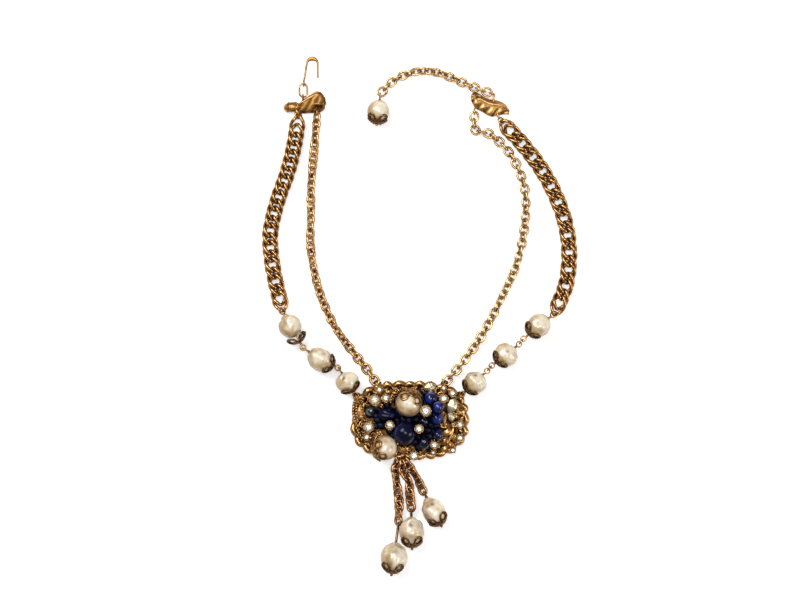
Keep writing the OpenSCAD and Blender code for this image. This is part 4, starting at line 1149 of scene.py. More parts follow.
def claw_shape():
    """Setting one millimetre in radius: a fluted collar and four claws bent over the stone."""
    shape = Shape()
    profile = [(0, 0.12), (0.72, 0.12), (0.92, 0.02), (0.98, 0.3), (0.96, 0.62), (1.02, 0.80), (0.95, 0.86),
               (0.84, 0.74), (0.80, 0.30), (0, 0.26)]
    # Painted shade on the underside and inside the cup.
    points, faces, sunk = lathe(profile, 48, sunk=[1, 1, 0.8, 0.4, 0.2, 0.0, 0.1, 0.7, 1, 1])
    angle = np.arctan2(points[:, 1], points[:, 0])
    reach = np.hypot(points[:, 0], points[:, 1])
    edge = smooth_step(0.9, 1.0, reach) * smooth_step(0.5, 0.8, points[:, 2])
    points[:, 2] += 0.05 * np.cos(12 * angle) * edge
    shape.add(points, faces, sunk)
    for k in range(4):
        q = math.radians(45 + 90 * k)
        c, s = math.cos(q), math.sin(q)
        path = [(0.98 * c, 0.98 * s, 0.30), (0.99 * c, 0.99 * s, 0.62), (0.96 * c, 0.96 * s, 0.92),
                (0.86 * c, 0.86 * s, 1.08), (0.74 * c, 0.74 * s, 1.12)]
        shape.add(*tube(path, [0.14, 0.14, 0.13, 0.12, 0.12], 8))
    return shape


def shell_shape():
    """Cupped shell petal of the rim, ribbed from its hinge; it opens towards -y."""
    rows, columns = 13, 25
    uu, vv = np.meshgrid(np.linspace(0, 1, rows), np.linspace(-1, 1, columns), indexing="ij")
    angle = np.radians(72) * vv
    ribs = np.cos(5.0 * angle)
    reach = 3.2 * (0.22 + 0.78 * uu) * (1 + 0.02 * ribs * uu)
    x, y = reach * np.sin(angle), 0.55 - reach * np.cos(angle)
    z = 0.75 + 1.05 * np.sin(math.pi * np.minimum(0.15 + 0.78 * uu, 1)) - 0.45 * vv ** 2 + 0.05 * ribs * uu
    # Painted shade and patina between the ribs; painted shade at the hinge, along the sides and at the outer
    # edge.
    dark = 0.45 * smooth_step(0.0, -0.95, ribs) * uu + 0.9 * smooth_step(0.5, 0.1, uu)
    dark = dark + 0.95 * smooth_step(0.74, 0.98, np.abs(vv)) + 0.7 * smooth_step(0.88, 1.0, uu)
    shape = Shape()
    shape.add(*sheet(np.stack((x, y, z), -1), rows, columns, 0.4, np.clip(dark, 0, 1)))
    return shape


def cord_parts(points, radius=0.34, wire=0.36, steps=70):
    """Two wires twisted round each other along a line through the points."""
    points = np.asarray(points, float)
    run = np.concatenate(([0], np.cumsum(np.linalg.norm(np.diff(points, axis=0), axis=1))))
    s = np.linspace(0, run[-1], steps)
    line = np.column_stack([np.interp(s, run, points[:, i]) for i in range(3)])
    for _ in range(6):  # eases the corners
        line[1:-1] = (line[:-2] + 2 * line[1:-1] + line[2:]) / 4
    _, side, top = wire_frames(line, False)
    parts = []
    for start in (0.0, math.pi):
        turn = start + FULL_TURN * s / 2.6
        path = line + radius * (np.cos(turn)[:, None] * side + np.sin(turn)[:, None] * top)
        parts.append(tube(path, wire, 8))
    return parts


def inside(point, outline):
    """True if the point is within the outline."""
    x, y = point[0], point[1]
    within = False
    for (xa, ya), (xb, yb) in zip(outline, outline[1:] + outline[:1]):
        if (ya > y) != (yb > y) and x < (xb - xa) * (y - ya) / (yb - ya) + xa:
            within = not within
    return within


def floret_shape():
    """Small five-lobed flower, one millimetre in radius, with painted shade in a ring round its middle and
    between its lobes.
    """
    profile = [(0, 0), (0.6, 0), (0.94, 0.12), (1.0, 0.34), (0.8, 0.52), (0.5, 0.40), (0.36, 0.34),
               (0.28, 0.50), (0.14, 0.62), (0, 0.64)]
    points, faces, sunk = lathe(profile, 30, sunk=[1, 1, 0.9, 0.45, 0.0, 0.6, 1.0, 0.4, 0.0, 0.0])
    angle = np.arctan2(points[:, 1], points[:, 0])
    outer = smooth_step(0.4, 0.9, np.hypot(points[:, 0], points[:, 1]))
    lobe = np.cos(5 * angle)
    points[:, :2] *= (1 + 0.14 * lobe * outer)[:, None]
    points[:, 2] += 0.08 * lobe * outer
    shape = Shape()
    shape.add(points, faces, np.clip(sunk + 0.8 * outer * smooth_step(-0.3, -0.9, lobe), 0, 1))
    return shape


def glass_petal_shape():
    """Domed oval of glass, two millimetres long, with a shallow groove down its middle."""
    rows, columns = 13, 13
    uu, vv = np.meshgrid(np.linspace(0.02, 0.98, rows), np.linspace(-1, 1, columns), indexing="ij")
    half = 0.72 * np.sin(math.pi * uu) ** 0.7
    x, y = 2 * (uu - 0.5), vv * half
    z = 0.62 * np.sqrt(np.maximum(1 - (2 * uu - 1) ** 2, 0)) * np.sqrt(np.maximum(1 - vv ** 2, 0.0)) + 0.05
    z = z - 0.06 * np.exp(-(vv / 0.12) ** 2)
    shape = Shape()
    shape.add(*sheet(np.stack((x, y, z), -1), rows, columns, 0.3, np.zeros(uu.shape)))
    return shape


def scroll_shape(turns=1.6, wire=0.26):
    """Flat spiral of wire that ends in a bead."""
    s = np.linspace(0, 1, 46)
    angle = FULL_TURN * turns * s
    r = 1.55 * (1 - 0.78 * s)
    path = np.column_stack((r * np.cos(angle), r * np.sin(angle), 0.25 + 0.12 * s))
    shape = Shape()
    # The underside of the wire gets painted shade.
    shape.add(*tube(path, np.linspace(wire, wire * 0.8, len(s)), 8, core=(0, 0, -1.2)))
    shape.add(*ball(path[-1] + np.array((0, 0, 0.1)), 0.42, 12))
    return shape


def faceted_bead(shape, centre, radius, sides, dent=0.0, seed=0, sunk=0.0):
    t = np.linspace(0, math.pi, sides)[1:-1]
    angles = np.arange(2 * sides) * FULL_TURN / (2 * sides)
    points = [
        (math.sin(a) * math.cos(b + (i % 2) * math.pi / (2 * sides)),
         math.sin(a) * math.sin(b + (i % 2) * math.pi / (2 * sides)), math.cos(a))
        for i, a in enumerate(t) for b in angles
    ] + [(0, 0, 1), (0, 0, -1)]
    points = np.array(points)
    grow = np.array([1 + dent * noise.noise(Vector(p) * 2.2 + Vector((seed, 0, 0))) for p in points])
    count = 2 * sides
    rows = len(t)
    faces = [tuple(reversed(f)) for f in band_faces(rows, count)]
    faces += [(rows * count, k, (k + 1) % count) for k in range(count)]
    last = (rows - 1) * count
    faces += [(rows * count + 1, last + (k + 1) % count, last + k) for k in range(count)]
    shape.add(points * grow[:, None] * radius + np.asarray(centre), faces, sunk)


# Settings
def colour_property(label, about, default):
    return bpy.props.FloatVectorProperty(name=label, description=about, default=default, size=3, min=0.0,
                                         max=1.0, subtype="COLOR")


def length_property(label, about, default):
    return bpy.props.FloatProperty(name=label, description=about, default=default * MM, min=0.0, precision=5,
                                   unit="LENGTH", subtype="DISTANCE")


class NecklaceSizes(bpy.types.PropertyGroup):
    cable_ring: length_property("Round link", "Radius of a round link's ends, to the middle of its wire",
                                1.80)
    cable_straight: length_property("Round link straight", "Half the straight stretch of a round link", 0.36)
    cable_wire: length_property("Round link wire", "Radius of the round link's wire", 0.54)
    curb_half: length_property("Curb half length", "Half the length of a twisted link", 4.7)
    curb_side: length_property("Curb half width", "Half the width of a twisted link", 2.95)
    curb_wire: length_property("Curb wire", "Radius of the twisted link's wire", 0.78)
    curb_twist: bpy.props.FloatProperty(
        name="Curb twist", description="Twist of a link from its middle to its end",
        default=math.radians(-56.4), unit="ROTATION", subtype="ANGLE")
    petal_wire: length_property("Petal wire", "Radius of the wire of a cap's petals", 0.52)
    petal_reach: length_property("Petal radius", "Radius of a cap's looped petal", 1.75)


class NecklaceColours(bpy.types.PropertyGroup):
    gold: colour_property("Antique gold", "Chains, settings and leaves", (0.80, 0.44, 0.155))
    bright_gold: colour_property("Bright gold", "Right-hand chain and clasp leaf", (0.86, 0.53, 0.215))
    bronze: colour_property("Bronze gold", "Curb chains and the left clasp leaf", (0.62, 0.32, 0.105))
    red_gold: colour_property("Red gold", "Drop chains and the branch", (0.60, 0.29, 0.11))
    brass: colour_property("Dark brass", "Pearl caps", (0.27, 0.145, 0.06))
    champagne: colour_property("Champagne", "Pale petals of the centrepiece", (0.98, 0.87, 0.58))
    # The recess colour serves both the patina in the hollows and the painted shade in the hollows and down
    # the flanks.
    recess: colour_property("Recess", "Dark age in the hollows of the metal", (0.035, 0.012, 0.004))
    # The pearl colour is that of the pearls' lit tops; the warm colour also makes the painted shade of their
    # flanks.
    pearl: colour_property("Pearl", "Light skin of the pearls", (0.90, 0.79, 0.61))
    pearl_warm: colour_property("Pearl, warm", "Warmer clouds in the skin", (0.66, 0.49, 0.27))
    pearl_pit: colour_property("Pearl, pits", "Bottom of the pits and creases", (0.17, 0.085, 0.032))
    blue_deep: colour_property("Blue glass", "Deep colour of the glass", (0.0015, 0.002, 0.014))
    blue_lit: colour_property("Blue glass, lit", "Lighter streaks of the glass", (0.004, 0.007, 0.065))
    cobalt: colour_property("Cobalt glass", "Brighter beads at the upper right", (0.018, 0.04, 0.36))
    surface: colour_property("Surface", "What the necklace lies on", (0.96, 0.955, 0.945))


class NecklaceStage(bpy.types.PropertyGroup):
    camera_height: bpy.props.FloatProperty(
        name="Camera height", description="Height of the camera over the surface", default=1.0, unit="LENGTH")
    key_power: bpy.props.FloatProperty(
        name="Main light", description="Strength of the large soft light", default=6.0, unit="POWER")
    sky: bpy.props.FloatProperty(
        name="Room light", description="Strength of the light from all round", default=0.22, subtype="FACTOR")


# Operators
class NECKLACE_OT_round_links(bpy.types.Operator):
    """Round-link chains: the two inner chains, the extender and the three drops"""

    bl_idname = "necklace.round_links"
    bl_label = "Round-link chains"

    def execute(self, context):
        sizes = context.scene.necklace_sizes
        tree = round_link_tree()
        for node, finish, slot in (
            ("inner_chain_left", "gold", "antique_gold"),
            ("inner_chain_right", "bright_gold", "antique_gold"),
            ("extender_chain", "bright_gold", "antique_gold"), ("drop_chain_left", "red_gold", "bronze_gold"),
            ("drop_chain_middle", "red_gold", "bronze_gold"), ("drop_chain_right", "red_gold", "bronze_gold"),
        ):
            places, turns = link_places(node)
            wire = sizes.cable_wire * THICKER.get(node, 1.0)
            if node in LEANING:
                uneven(places, turns, *LEANING[node], sizes.cable_straight / MM, sizes.cable_ring / MM,
                       wire / MM)
            values = {"Ring radius": sizes.cable_ring, "Straight half": sizes.cable_straight,
                      "Wire radius": wire, "Ring steps": 32, "Wire steps": 10}
            grown("links_" + node, tree, values, places, turns, np.ones((len(places), 3)), finish_of(finish),
                  (node,))
        return {"FINISHED"}


class NECKLACE_OT_curb_links(bpy.types.Operator):
    """The two outer chains of twisted links"""

    bl_idname = "necklace.curb_links"
    bl_label = "Curb chains"

    def execute(self, context):
        sizes = context.scene.necklace_sizes
        tree = twisted_link_tree()
        for node in ("curb_chain_left", "curb_chain_right"):
            places, turns = link_places(node)
            for spot in places:
                spot[2] += CURB_LIFT
            values = {"Half length": sizes.curb_half, "Half width": sizes.curb_side,
                      "Twist": sizes.curb_twist / sizes.curb_half, "Wire radius": sizes.curb_wire,
                      "Link steps": 44, "Wire steps": 12}
            grown("links_" + node, tree, values, places, turns, np.ones((len(places), 3)),
                  finish_of("bronze"), (node,))
        return {"FINISHED"}


class NECKLACE_OT_pearls(bpy.types.Operator):
    """Baroque pearls, each with its own knobs, pits and creases"""

    bl_idname = "necklace.pearls"
    bl_label = "Pearls"

    def execute(self, context):
        for name in PEARLS:
            pearl_shape(name).piece("baroque_pearl_" + name, finish_of("pearl"), ("pearl_" + name,), "pearl")
        return {"FINISHED"}


class NECKLACE_OT_caps(bpy.types.Operator):
    """Caps with four looped petals"""

    bl_idname = "necklace.caps"
    bl_label = "Pearl caps"

    def execute(self, context):
        sizes = context.scene.necklace_sizes
        for name in PEARLS:
            shape = cap_shape(name, sizes.petal_wire / MM, sizes.petal_reach / MM)
            if name in ("centre", "lower"):
                row = PEARLS[name]
                shape.add(*ball(row["end"], HEAD_R, 16))
                shape.add(*tube([row["start"], (row["start"] + row["end"]) / 2, row["end"]], 0.3, 10))
            finish = "cap_gold" if name in ("centre", "lower") else "brass"
            shape.piece("looped_cap_" + name, finish_of(finish), ("cap_" + name,), "dark_brass")
        return {"FINISHED"}


class NECKLACE_OT_pins(bpy.types.Operator):
    """Eye pins, headed pins and the small rings between the pearls"""

    bl_idname = "necklace.pins"
    bl_label = "Pins and rings"

    def execute(self, context):
        big, end = (CURB_EYE_R, -56.4, 90), (EYE_R, 0, 90)
        sets = (
            ("pins_left", ("left_1", "left_2", "left_3"), (big, end, end)),
            ("pins_right", ("right_1", "right_2", "right_3"), (big, (EYE_R, 90, 90), (EYE_R, 90, 90))),
            ("pins_drops", ("drop_left", "drop_middle", "drop_right"), ((EYE_R, 0, None),) * 3),
            ("pin_extender", ("extender",), ((EYE_R, 0, None),)),
        )
        for node, names, kinds in sets:
            finish = "brass" if node == "pins_drops" else "gold"
            pins = pin_shape(names, kinds, DROP_SHANK_R if node == "pins_drops" else SHANK_R)
            pins.piece("wire_" + node, finish_of(finish), (node,), "antique_gold")
        shape = Shape()
        for one, two in (("right_1", "right_2"), ("right_2", "right_3")):
            a, b = PEARLS[one]["end"], PEARLS[two]["start"]
            middle = (a + b) / 2
            along = unit(b - a)
            upright = unit(np.cross(np.cross(along, (0, 0, 1)), along))
            shape.add(*tube(ring_path(middle, along, upright, 1.3, 36), 0.35, 10, True, core=middle))
        shape.piece("wire_pearl_links", finish_of("gold"), ("pearl_links",), "antique_gold")
        return {"FINISHED"}


class NECKLACE_OT_plate(bpy.types.Operator):
    """Pierced plate with its scalloped rim, scrolls of wire and beads of metal"""

    bl_idname = "necklace.plate"
    bl_label = "Filigree plate"

    def execute(self, context):
        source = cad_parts["base_plate"]
        mesh = source.data.copy()
        mesh.name = "filigree_plate"
        work = bmesh.new()
        work.from_mesh(mesh)
        bmesh.ops.remove_doubles(work, verts=work.verts, dist=1e-6)
        work.to_mesh(mesh)
        work.free()
        mesh.materials.clear()
        mesh.materials.append(finish_of("gold"))
        mesh.shade_smooth()
        mesh.set_sharp_from_angle(angle=math.radians(38))
        sunk = mesh.attributes.new("sunk", "FLOAT", "POINT")
        z = np.array([v.co.z for v in mesh.vertices]) / MM
        # Painted shade on the plate's flat ground between and under the pieces, and a lighter painted shade
        # low on its edge and underside.
        ground_shade = 0.98 * smooth_step(1.55, 1.25, z) * smooth_step(0.2, 0.9, z)
        ground_shade = ground_shade + 0.35 * smooth_step(0.9, 0.2, z)
        sunk.data.foreach_set("value", ground_shade.astype(np.float32))
        plate = bpy.data.objects.new("filigree_plate", mesh)
        bpy.context.scene.collection.objects.link(plate)
        mounted(plate, ("base_plate",))

        place = set_in_place_tree()
        chance = np.random.default_rng(SEED)
        rows, turns, sizes = [], [], []
        for k in range(SHELLS):
            point, turn = along_rim((k + chance.uniform(-0.12, 0.12)) / SHELLS)
            if CORD_SIDE[0] < point[1] < CORD_SIDE[1] and point[0] < 0:
                continue
            grow = chance.uniform(0.86, 1.22)
            rows.append((*point, PLATE_T + 0.30 * (k % 2)))
            turns.append((chance.uniform(-0.12, 0.12), 0, turn + chance.uniform(-0.14, 0.14)))
            sizes.append((grow, chance.uniform(0.92, 1.08), grow))
        self.scatter("rim_shells", place, shell_shape(), rows, turns, sizes)
        rows, turns, sizes = [], [], []
        for share, count, size in ((0.86, 28, 1.0), (0.72, 20, 1.25)):
            for k in range(count):
                point, turn = along_rim((k + 0.5) / count)
                near = point * (share + chance.uniform(-0.03, 0.03))
                if inside(near, GLASS_BED) or inside(near, BARE):
                    continue
                rows.append((*near, PLATE_T - 0.05 + chance.uniform(0, 0.7)))
                turns.append((chance.uniform(-0.3, 0.3), chance.uniform(-0.3, 0.3),
                              chance.uniform(0, FULL_TURN)))
                grow = size * chance.uniform(0.85, 1.2)
                sizes.append((grow, grow, 1.25 * grow))
        self.scatter("plate_scrolls", place, scroll_shape(1.5, 0.30), rows, turns, sizes)
        rows, turns, sizes = [], [], []
        for k in range(44):
            point, turn = along_rim((k + 0.5) / 44)
            near = point * chance.uniform(0.70, 0.95)
            if inside(near, GLASS_BED) or inside(near, BARE):
                continue
            rows.append((*near, PLATE_T + chance.uniform(0.0, 0.5)))
            turns.append((chance.uniform(-0.25, 0.25), chance.uniform(-0.35, 0.0),
                          chance.uniform(0, FULL_TURN)))
            grow = chance.uniform(1.0, 1.45)
            sizes.append((grow, grow, grow))
        leaf = Shape()
        leaf.add(*leaf_parts(3.4, 1.7, 0.7, 3, 0.1, 0.25, 0.2, 19, 9, 0.3))
        self.scatter("plate_leaves", place, leaf, rows, turns, sizes)
        rows, turns, sizes = [], [], []
        for share, count, hole in PIERCED:
            for k in range(count):
                near = share * along_rim((k + 0.5) / count)[0]
                if inside(near, GLASS_BED):
                    continue
                rows.append((*near, PLATE_T - 0.1))
                turns.append((0, 0, chance.uniform(0, FULL_TURN)))
                grow = hole + 0.55
                sizes.append((grow, grow, 0.9 if inside(near, BARE) else 1.4))
        for k in range(SCALLOPS):
            rows.append((*along_rim(k / SCALLOPS)[0], PLATE_T - 0.1))
            turns.append((0, 0, k))
            sizes.append((1.35, 1.35, 1.2))
        self.scatter("plate_florets", place, floret_shape(), rows, turns, sizes)
        cords = Shape()
        for path in CORDS:
            for part in cord_parts(path):
                cords.add(*part)
        knot = np.array((-3.2, -13.1, 3.1))
        for k in range(4):
            lean = math.radians(25 + 40 * k)
            a, b = (math.cos(lean), 0.3, math.sin(lean)), (-0.25, 1.0, 0.12 * k)
            cords.add(*tube(ring_path(knot, unit(a), unit(b), 1.35 + 0.12 * k, 32), 0.32, 10, True,
                            core=knot))
        cords.piece("twisted_cords", finish_of("gold"), (), "antique_gold")
        return {"FINISHED"}

    def scatter(self, name, tree, shape, rows, turns, sizes):
        source = bpy.data.objects.new(name + "_source", shape.mesh(name + "_source"))
        bpy.context.scene.collection.objects.link(source)
        grown(name, tree, {"Shape": source}, rows, turns, sizes, finish_of("gold"), ())
        bpy.data.objects.remove(source)


class NECKLACE_OT_stones(bpy.types.Operator):
    """Rhinestones and the claws that hold them"""

    bl_idname = "necklace.stones"
    bl_label = "Rhinestones"

    def execute(self, context):
        place = set_in_place_tree()
        points, faces = brilliant_shape()
        mesh = bpy.data.meshes.new("brilliant")
        mesh.from_pydata((np.array(points) * MM).tolist(), [], faces)
        facet = mesh.attributes.new("facet", "FLOAT", "FACE")
        chance = np.random.default_rng(SEED)
        facet.data.foreach_set("value", chance.random(len(mesh.polygons)).astype(np.float32))
        source = bpy.data.objects.new("brilliant", mesh)
        bpy.context.scene.collection.objects.link(source)
        rows = [(s[0], s[1], s[3] + CUP_H + 0.1) for s in STONES]
        turns = [(0, 0, k) for k in range(len(STONES))]
        sizes = [(s[2] - 0.4,) * 3 for s in STONES]
        grown("cut_stones", place, {"Shape": source}, rows, turns, sizes, finish_of("crystal"),
              ("rhinestones",))
        bpy.data.objects.remove(source)
        shape = claw_shape()
        source = bpy.data.objects.new("claws", shape.mesh("claws"))
        bpy.context.scene.collection.objects.link(source)
        rows = [(s[0], s[1], s[3]) for s in STONES]
        turns = [(0, 0, 0) for s in STONES]
        sizes = [(s[2], s[2], 1.75) for s in STONES]
        grown("stone_claws", place, {"Shape": source}, rows, turns, sizes, finish_of("gold"), ())
        bpy.data.objects.remove(source)
        return {"FINISHED"}


class NECKLACE_OT_glass(bpy.types.Operator):
    """Blue and dark glass of the centrepiece"""

    bl_idname = "necklace.glass"
    bl_label = "Glass beads"

    def execute(self, context):
        shape = Shape()
        faceted_bead(shape, LARGE_BEAD[:3], LARGE_BEAD[3], 32, 0.02, 3)
        shape.piece("blue_glass_ball", finish_of("blue"), ("blue_bead_large",), "blue_glass")
        shape = Shape()
        for k, bead in enumerate(BLUE_BEADS):
            faceted_bead(shape, bead[:3], bead[3], 22, 0.035, k, 0.0 if k < 3 else 0.85)
        shape.piece("blue_glass_beads", finish_of("cobalt"), ("blue_beads",), "blue_glass")
        self.bed()
        shape = Shape()
        faceted_bead(shape, DARK_BEAD[:3], DARK_BEAD[3], 7, 0.0)
        shape.piece("dark_cut_bead", finish_of("dark"), ("dark_bead",), "dark_glass", sharp=12)
        x, y, foot, length, width, height = BLUE_LEAF
        rows, columns = 33, 25
        u, v = np.linspace(0.01, 0.99, rows), np.linspace(-1, 1, columns)
        uu, vv = np.meshgrid(u, v, indexing="ij")
        half = width / 2 * np.sin(math.pi * uu) ** 0.8
        px, py = length * (uu - 0.5), vv * half
        z = height * (1 - (2 * uu - 1) ** 2) ** 0.6 * (1 - np.abs(vv) ** 2.6) ** 0.5
        z = (z + 0.12 * np.cos(10 * uu + 4 * np.abs(vv)) * (1 - np.abs(vv))
             - 0.25 * np.exp(-(vv / 0.08) ** 2) * (z > 1))
        points, faces, sunk = sheet(np.stack((px, py, np.maximum(z, 0.3)), -1), rows, columns, 0.3,
                                    np.zeros(uu.shape))
        shape = Shape()
        spin = np.array(Matrix.Rotation(math.radians(-8), 3, "Z"))
        shape.add(points @ spin.T + np.array((x, y, foot)), faces, sunk)
        shape.piece("blue_glass_leaf", finish_of("blue"), ("blue_leaf",), "blue_glass")
        return {"FINISHED"}

    def bed(self):
        """Dark petals that lie between the beads and hide the plate."""
        chance = np.random.default_rng(SEED)
        rows, turns, sizes = [], [], []
        step = 2.7
        for j in range(-6, 7):
            for i in range(-9, 9):
                x = step * (i + 0.5 * (j % 2)) + chance.uniform(-0.3, 0.3)
                y = 0.87 * step * j + chance.uniform(-0.3, 0.3)
                if not inside((x, y), GLASS_BED):
                    continue
                away = math.atan2(y - LARGE_BEAD[1], x - LARGE_BEAD[0])
                rows.append((x, y, PLATE_T + chance.uniform(0.05, 0.9)))
                turns.append((chance.uniform(-0.2, 0.2), chance.uniform(-0.35, -0.05),
                              away + chance.uniform(-0.4, 0.4)))
                grow = chance.uniform(2.0, 2.7)
                sizes.append((grow, grow, grow * 0.9))
        for share, count, _ in PIERCED:
            for k in range(count):
                near = share * along_rim((k + 0.5) / count)[0]
                if inside(near, GLASS_BED):
                    rows.append((*near, PLATE_T + 0.05))
                    turns.append((0, 0, chance.uniform(0, FULL_TURN)))
                    sizes.append((1.9, 2.4, 1.6))
        shape = glass_petal_shape()
        source = bpy.data.objects.new("glass_petal", shape.mesh("glass_petal"))
        bpy.context.scene.collection.objects.link(source)
        grown("glass_petals", set_in_place_tree(), {"Shape": source}, rows, turns, sizes, finish_of("ink"),
              ())
        bpy.data.objects.remove(source)


class NECKLACE_OT_leaves(bpy.types.Operator):
    """Leaves, petals and flowers on the plate"""

    bl_idname = "necklace.leaves"
    bl_label = "Leaves and flowers"

    def execute(self, context):
        jobs = (
            ("leaf_upright", "leaf_gold", "antique_gold",
             ((-22, 4.2, LEAF_FOOT, 84, 7.2, 3.0, 1.2, 5, 0.1, 0.0),)),
            ("leaf_ribbed", "champagne", "champagne",
             ((9.3, 15.2, LEAF_FOOT + 0.3, 12, 6.1, 4.0, 1.0, 5, 0.12, 0.0),)),
            ("champagne_petals", "champagne", "champagne", (
                (19.4, 6.9, LEAF_FOOT + 0.6, 68, 7.9, 5.0, 1.3, 2, 0.05, 0.0),
                (18.9, 2.0, LEAF_FOOT, 105, 5.8, 3.2, 1.0, 2, 0.05, 0.0))),
            ("leaf_curved", "leaf_gold", "antique_gold",
             ((16.1, 0.4, LEAF_FOOT, 80, 6.4, 1.8, 0.8, 5, 0.0, 0.5),)),
        )
        for node, finish, slot, rows in jobs:
            shape = Shape()
            for x, y, foot, turn, length, width, rise, veins, serration, bow in rows:
                set_leaf(shape, x, y, foot, turn, leaf_parts(length, width, rise, veins, serration, bow,
                                                             vein=0.6))
            shape.piece("veined_" + node, finish_of(finish), (node,), slot)
        shape = Shape()
        for x, y, turn, length, width in ((17.3, -5.2, -150, 5.4, 3.6), (15.9, -9.0, -160, 5.8, 4.0),
                                          (20.5, -7.6, -55, 6.0, 3.9), (19.3, -11.4, -70, 5.2, 3.6),
                                          (16.2, -12.8, -140, 5.6, 3.7)):
            set_leaf(shape, x, y, LEAF_FOOT, turn,
                     leaf_parts(length, width, 0.9, 2, 0.14, 0.3, 0.25, 37, 21, 0.4, 0.3))
        stem = np.array([(20.0, -3.6, LEAF_FOOT + 0.75), (19.4, -5.6, LEAF_FOOT + 0.8),
                         (18.6, -7.6, LEAF_FOOT + 0.8),
                         (17.9, -9.4, LEAF_FOOT + 0.8), (17.2, -11.2, LEAF_FOOT + 0.75)])
        shape.add(*tube(stem, [0.5, 0.5, 0.46, 0.42, 0.36], 12))
        shape.piece("veined_branch_leaf", finish_of("gold"), ("branch_leaf",), "antique_gold")
        flower_shape(23.4, 5.2, 2.3, LEAF_FOOT + 0.2).piece("gold_flower", finish_of("gold"),
                                                            ("flower_right",), "antique_gold")
        flower_shape(6.6, -14.7, 1.9, LEAF_FOOT, 5).piece("bronze_rosette", finish_of("bronze"),
                                                          ("rosette_lower",), "bronze_gold")
        return {"FINISHED"}


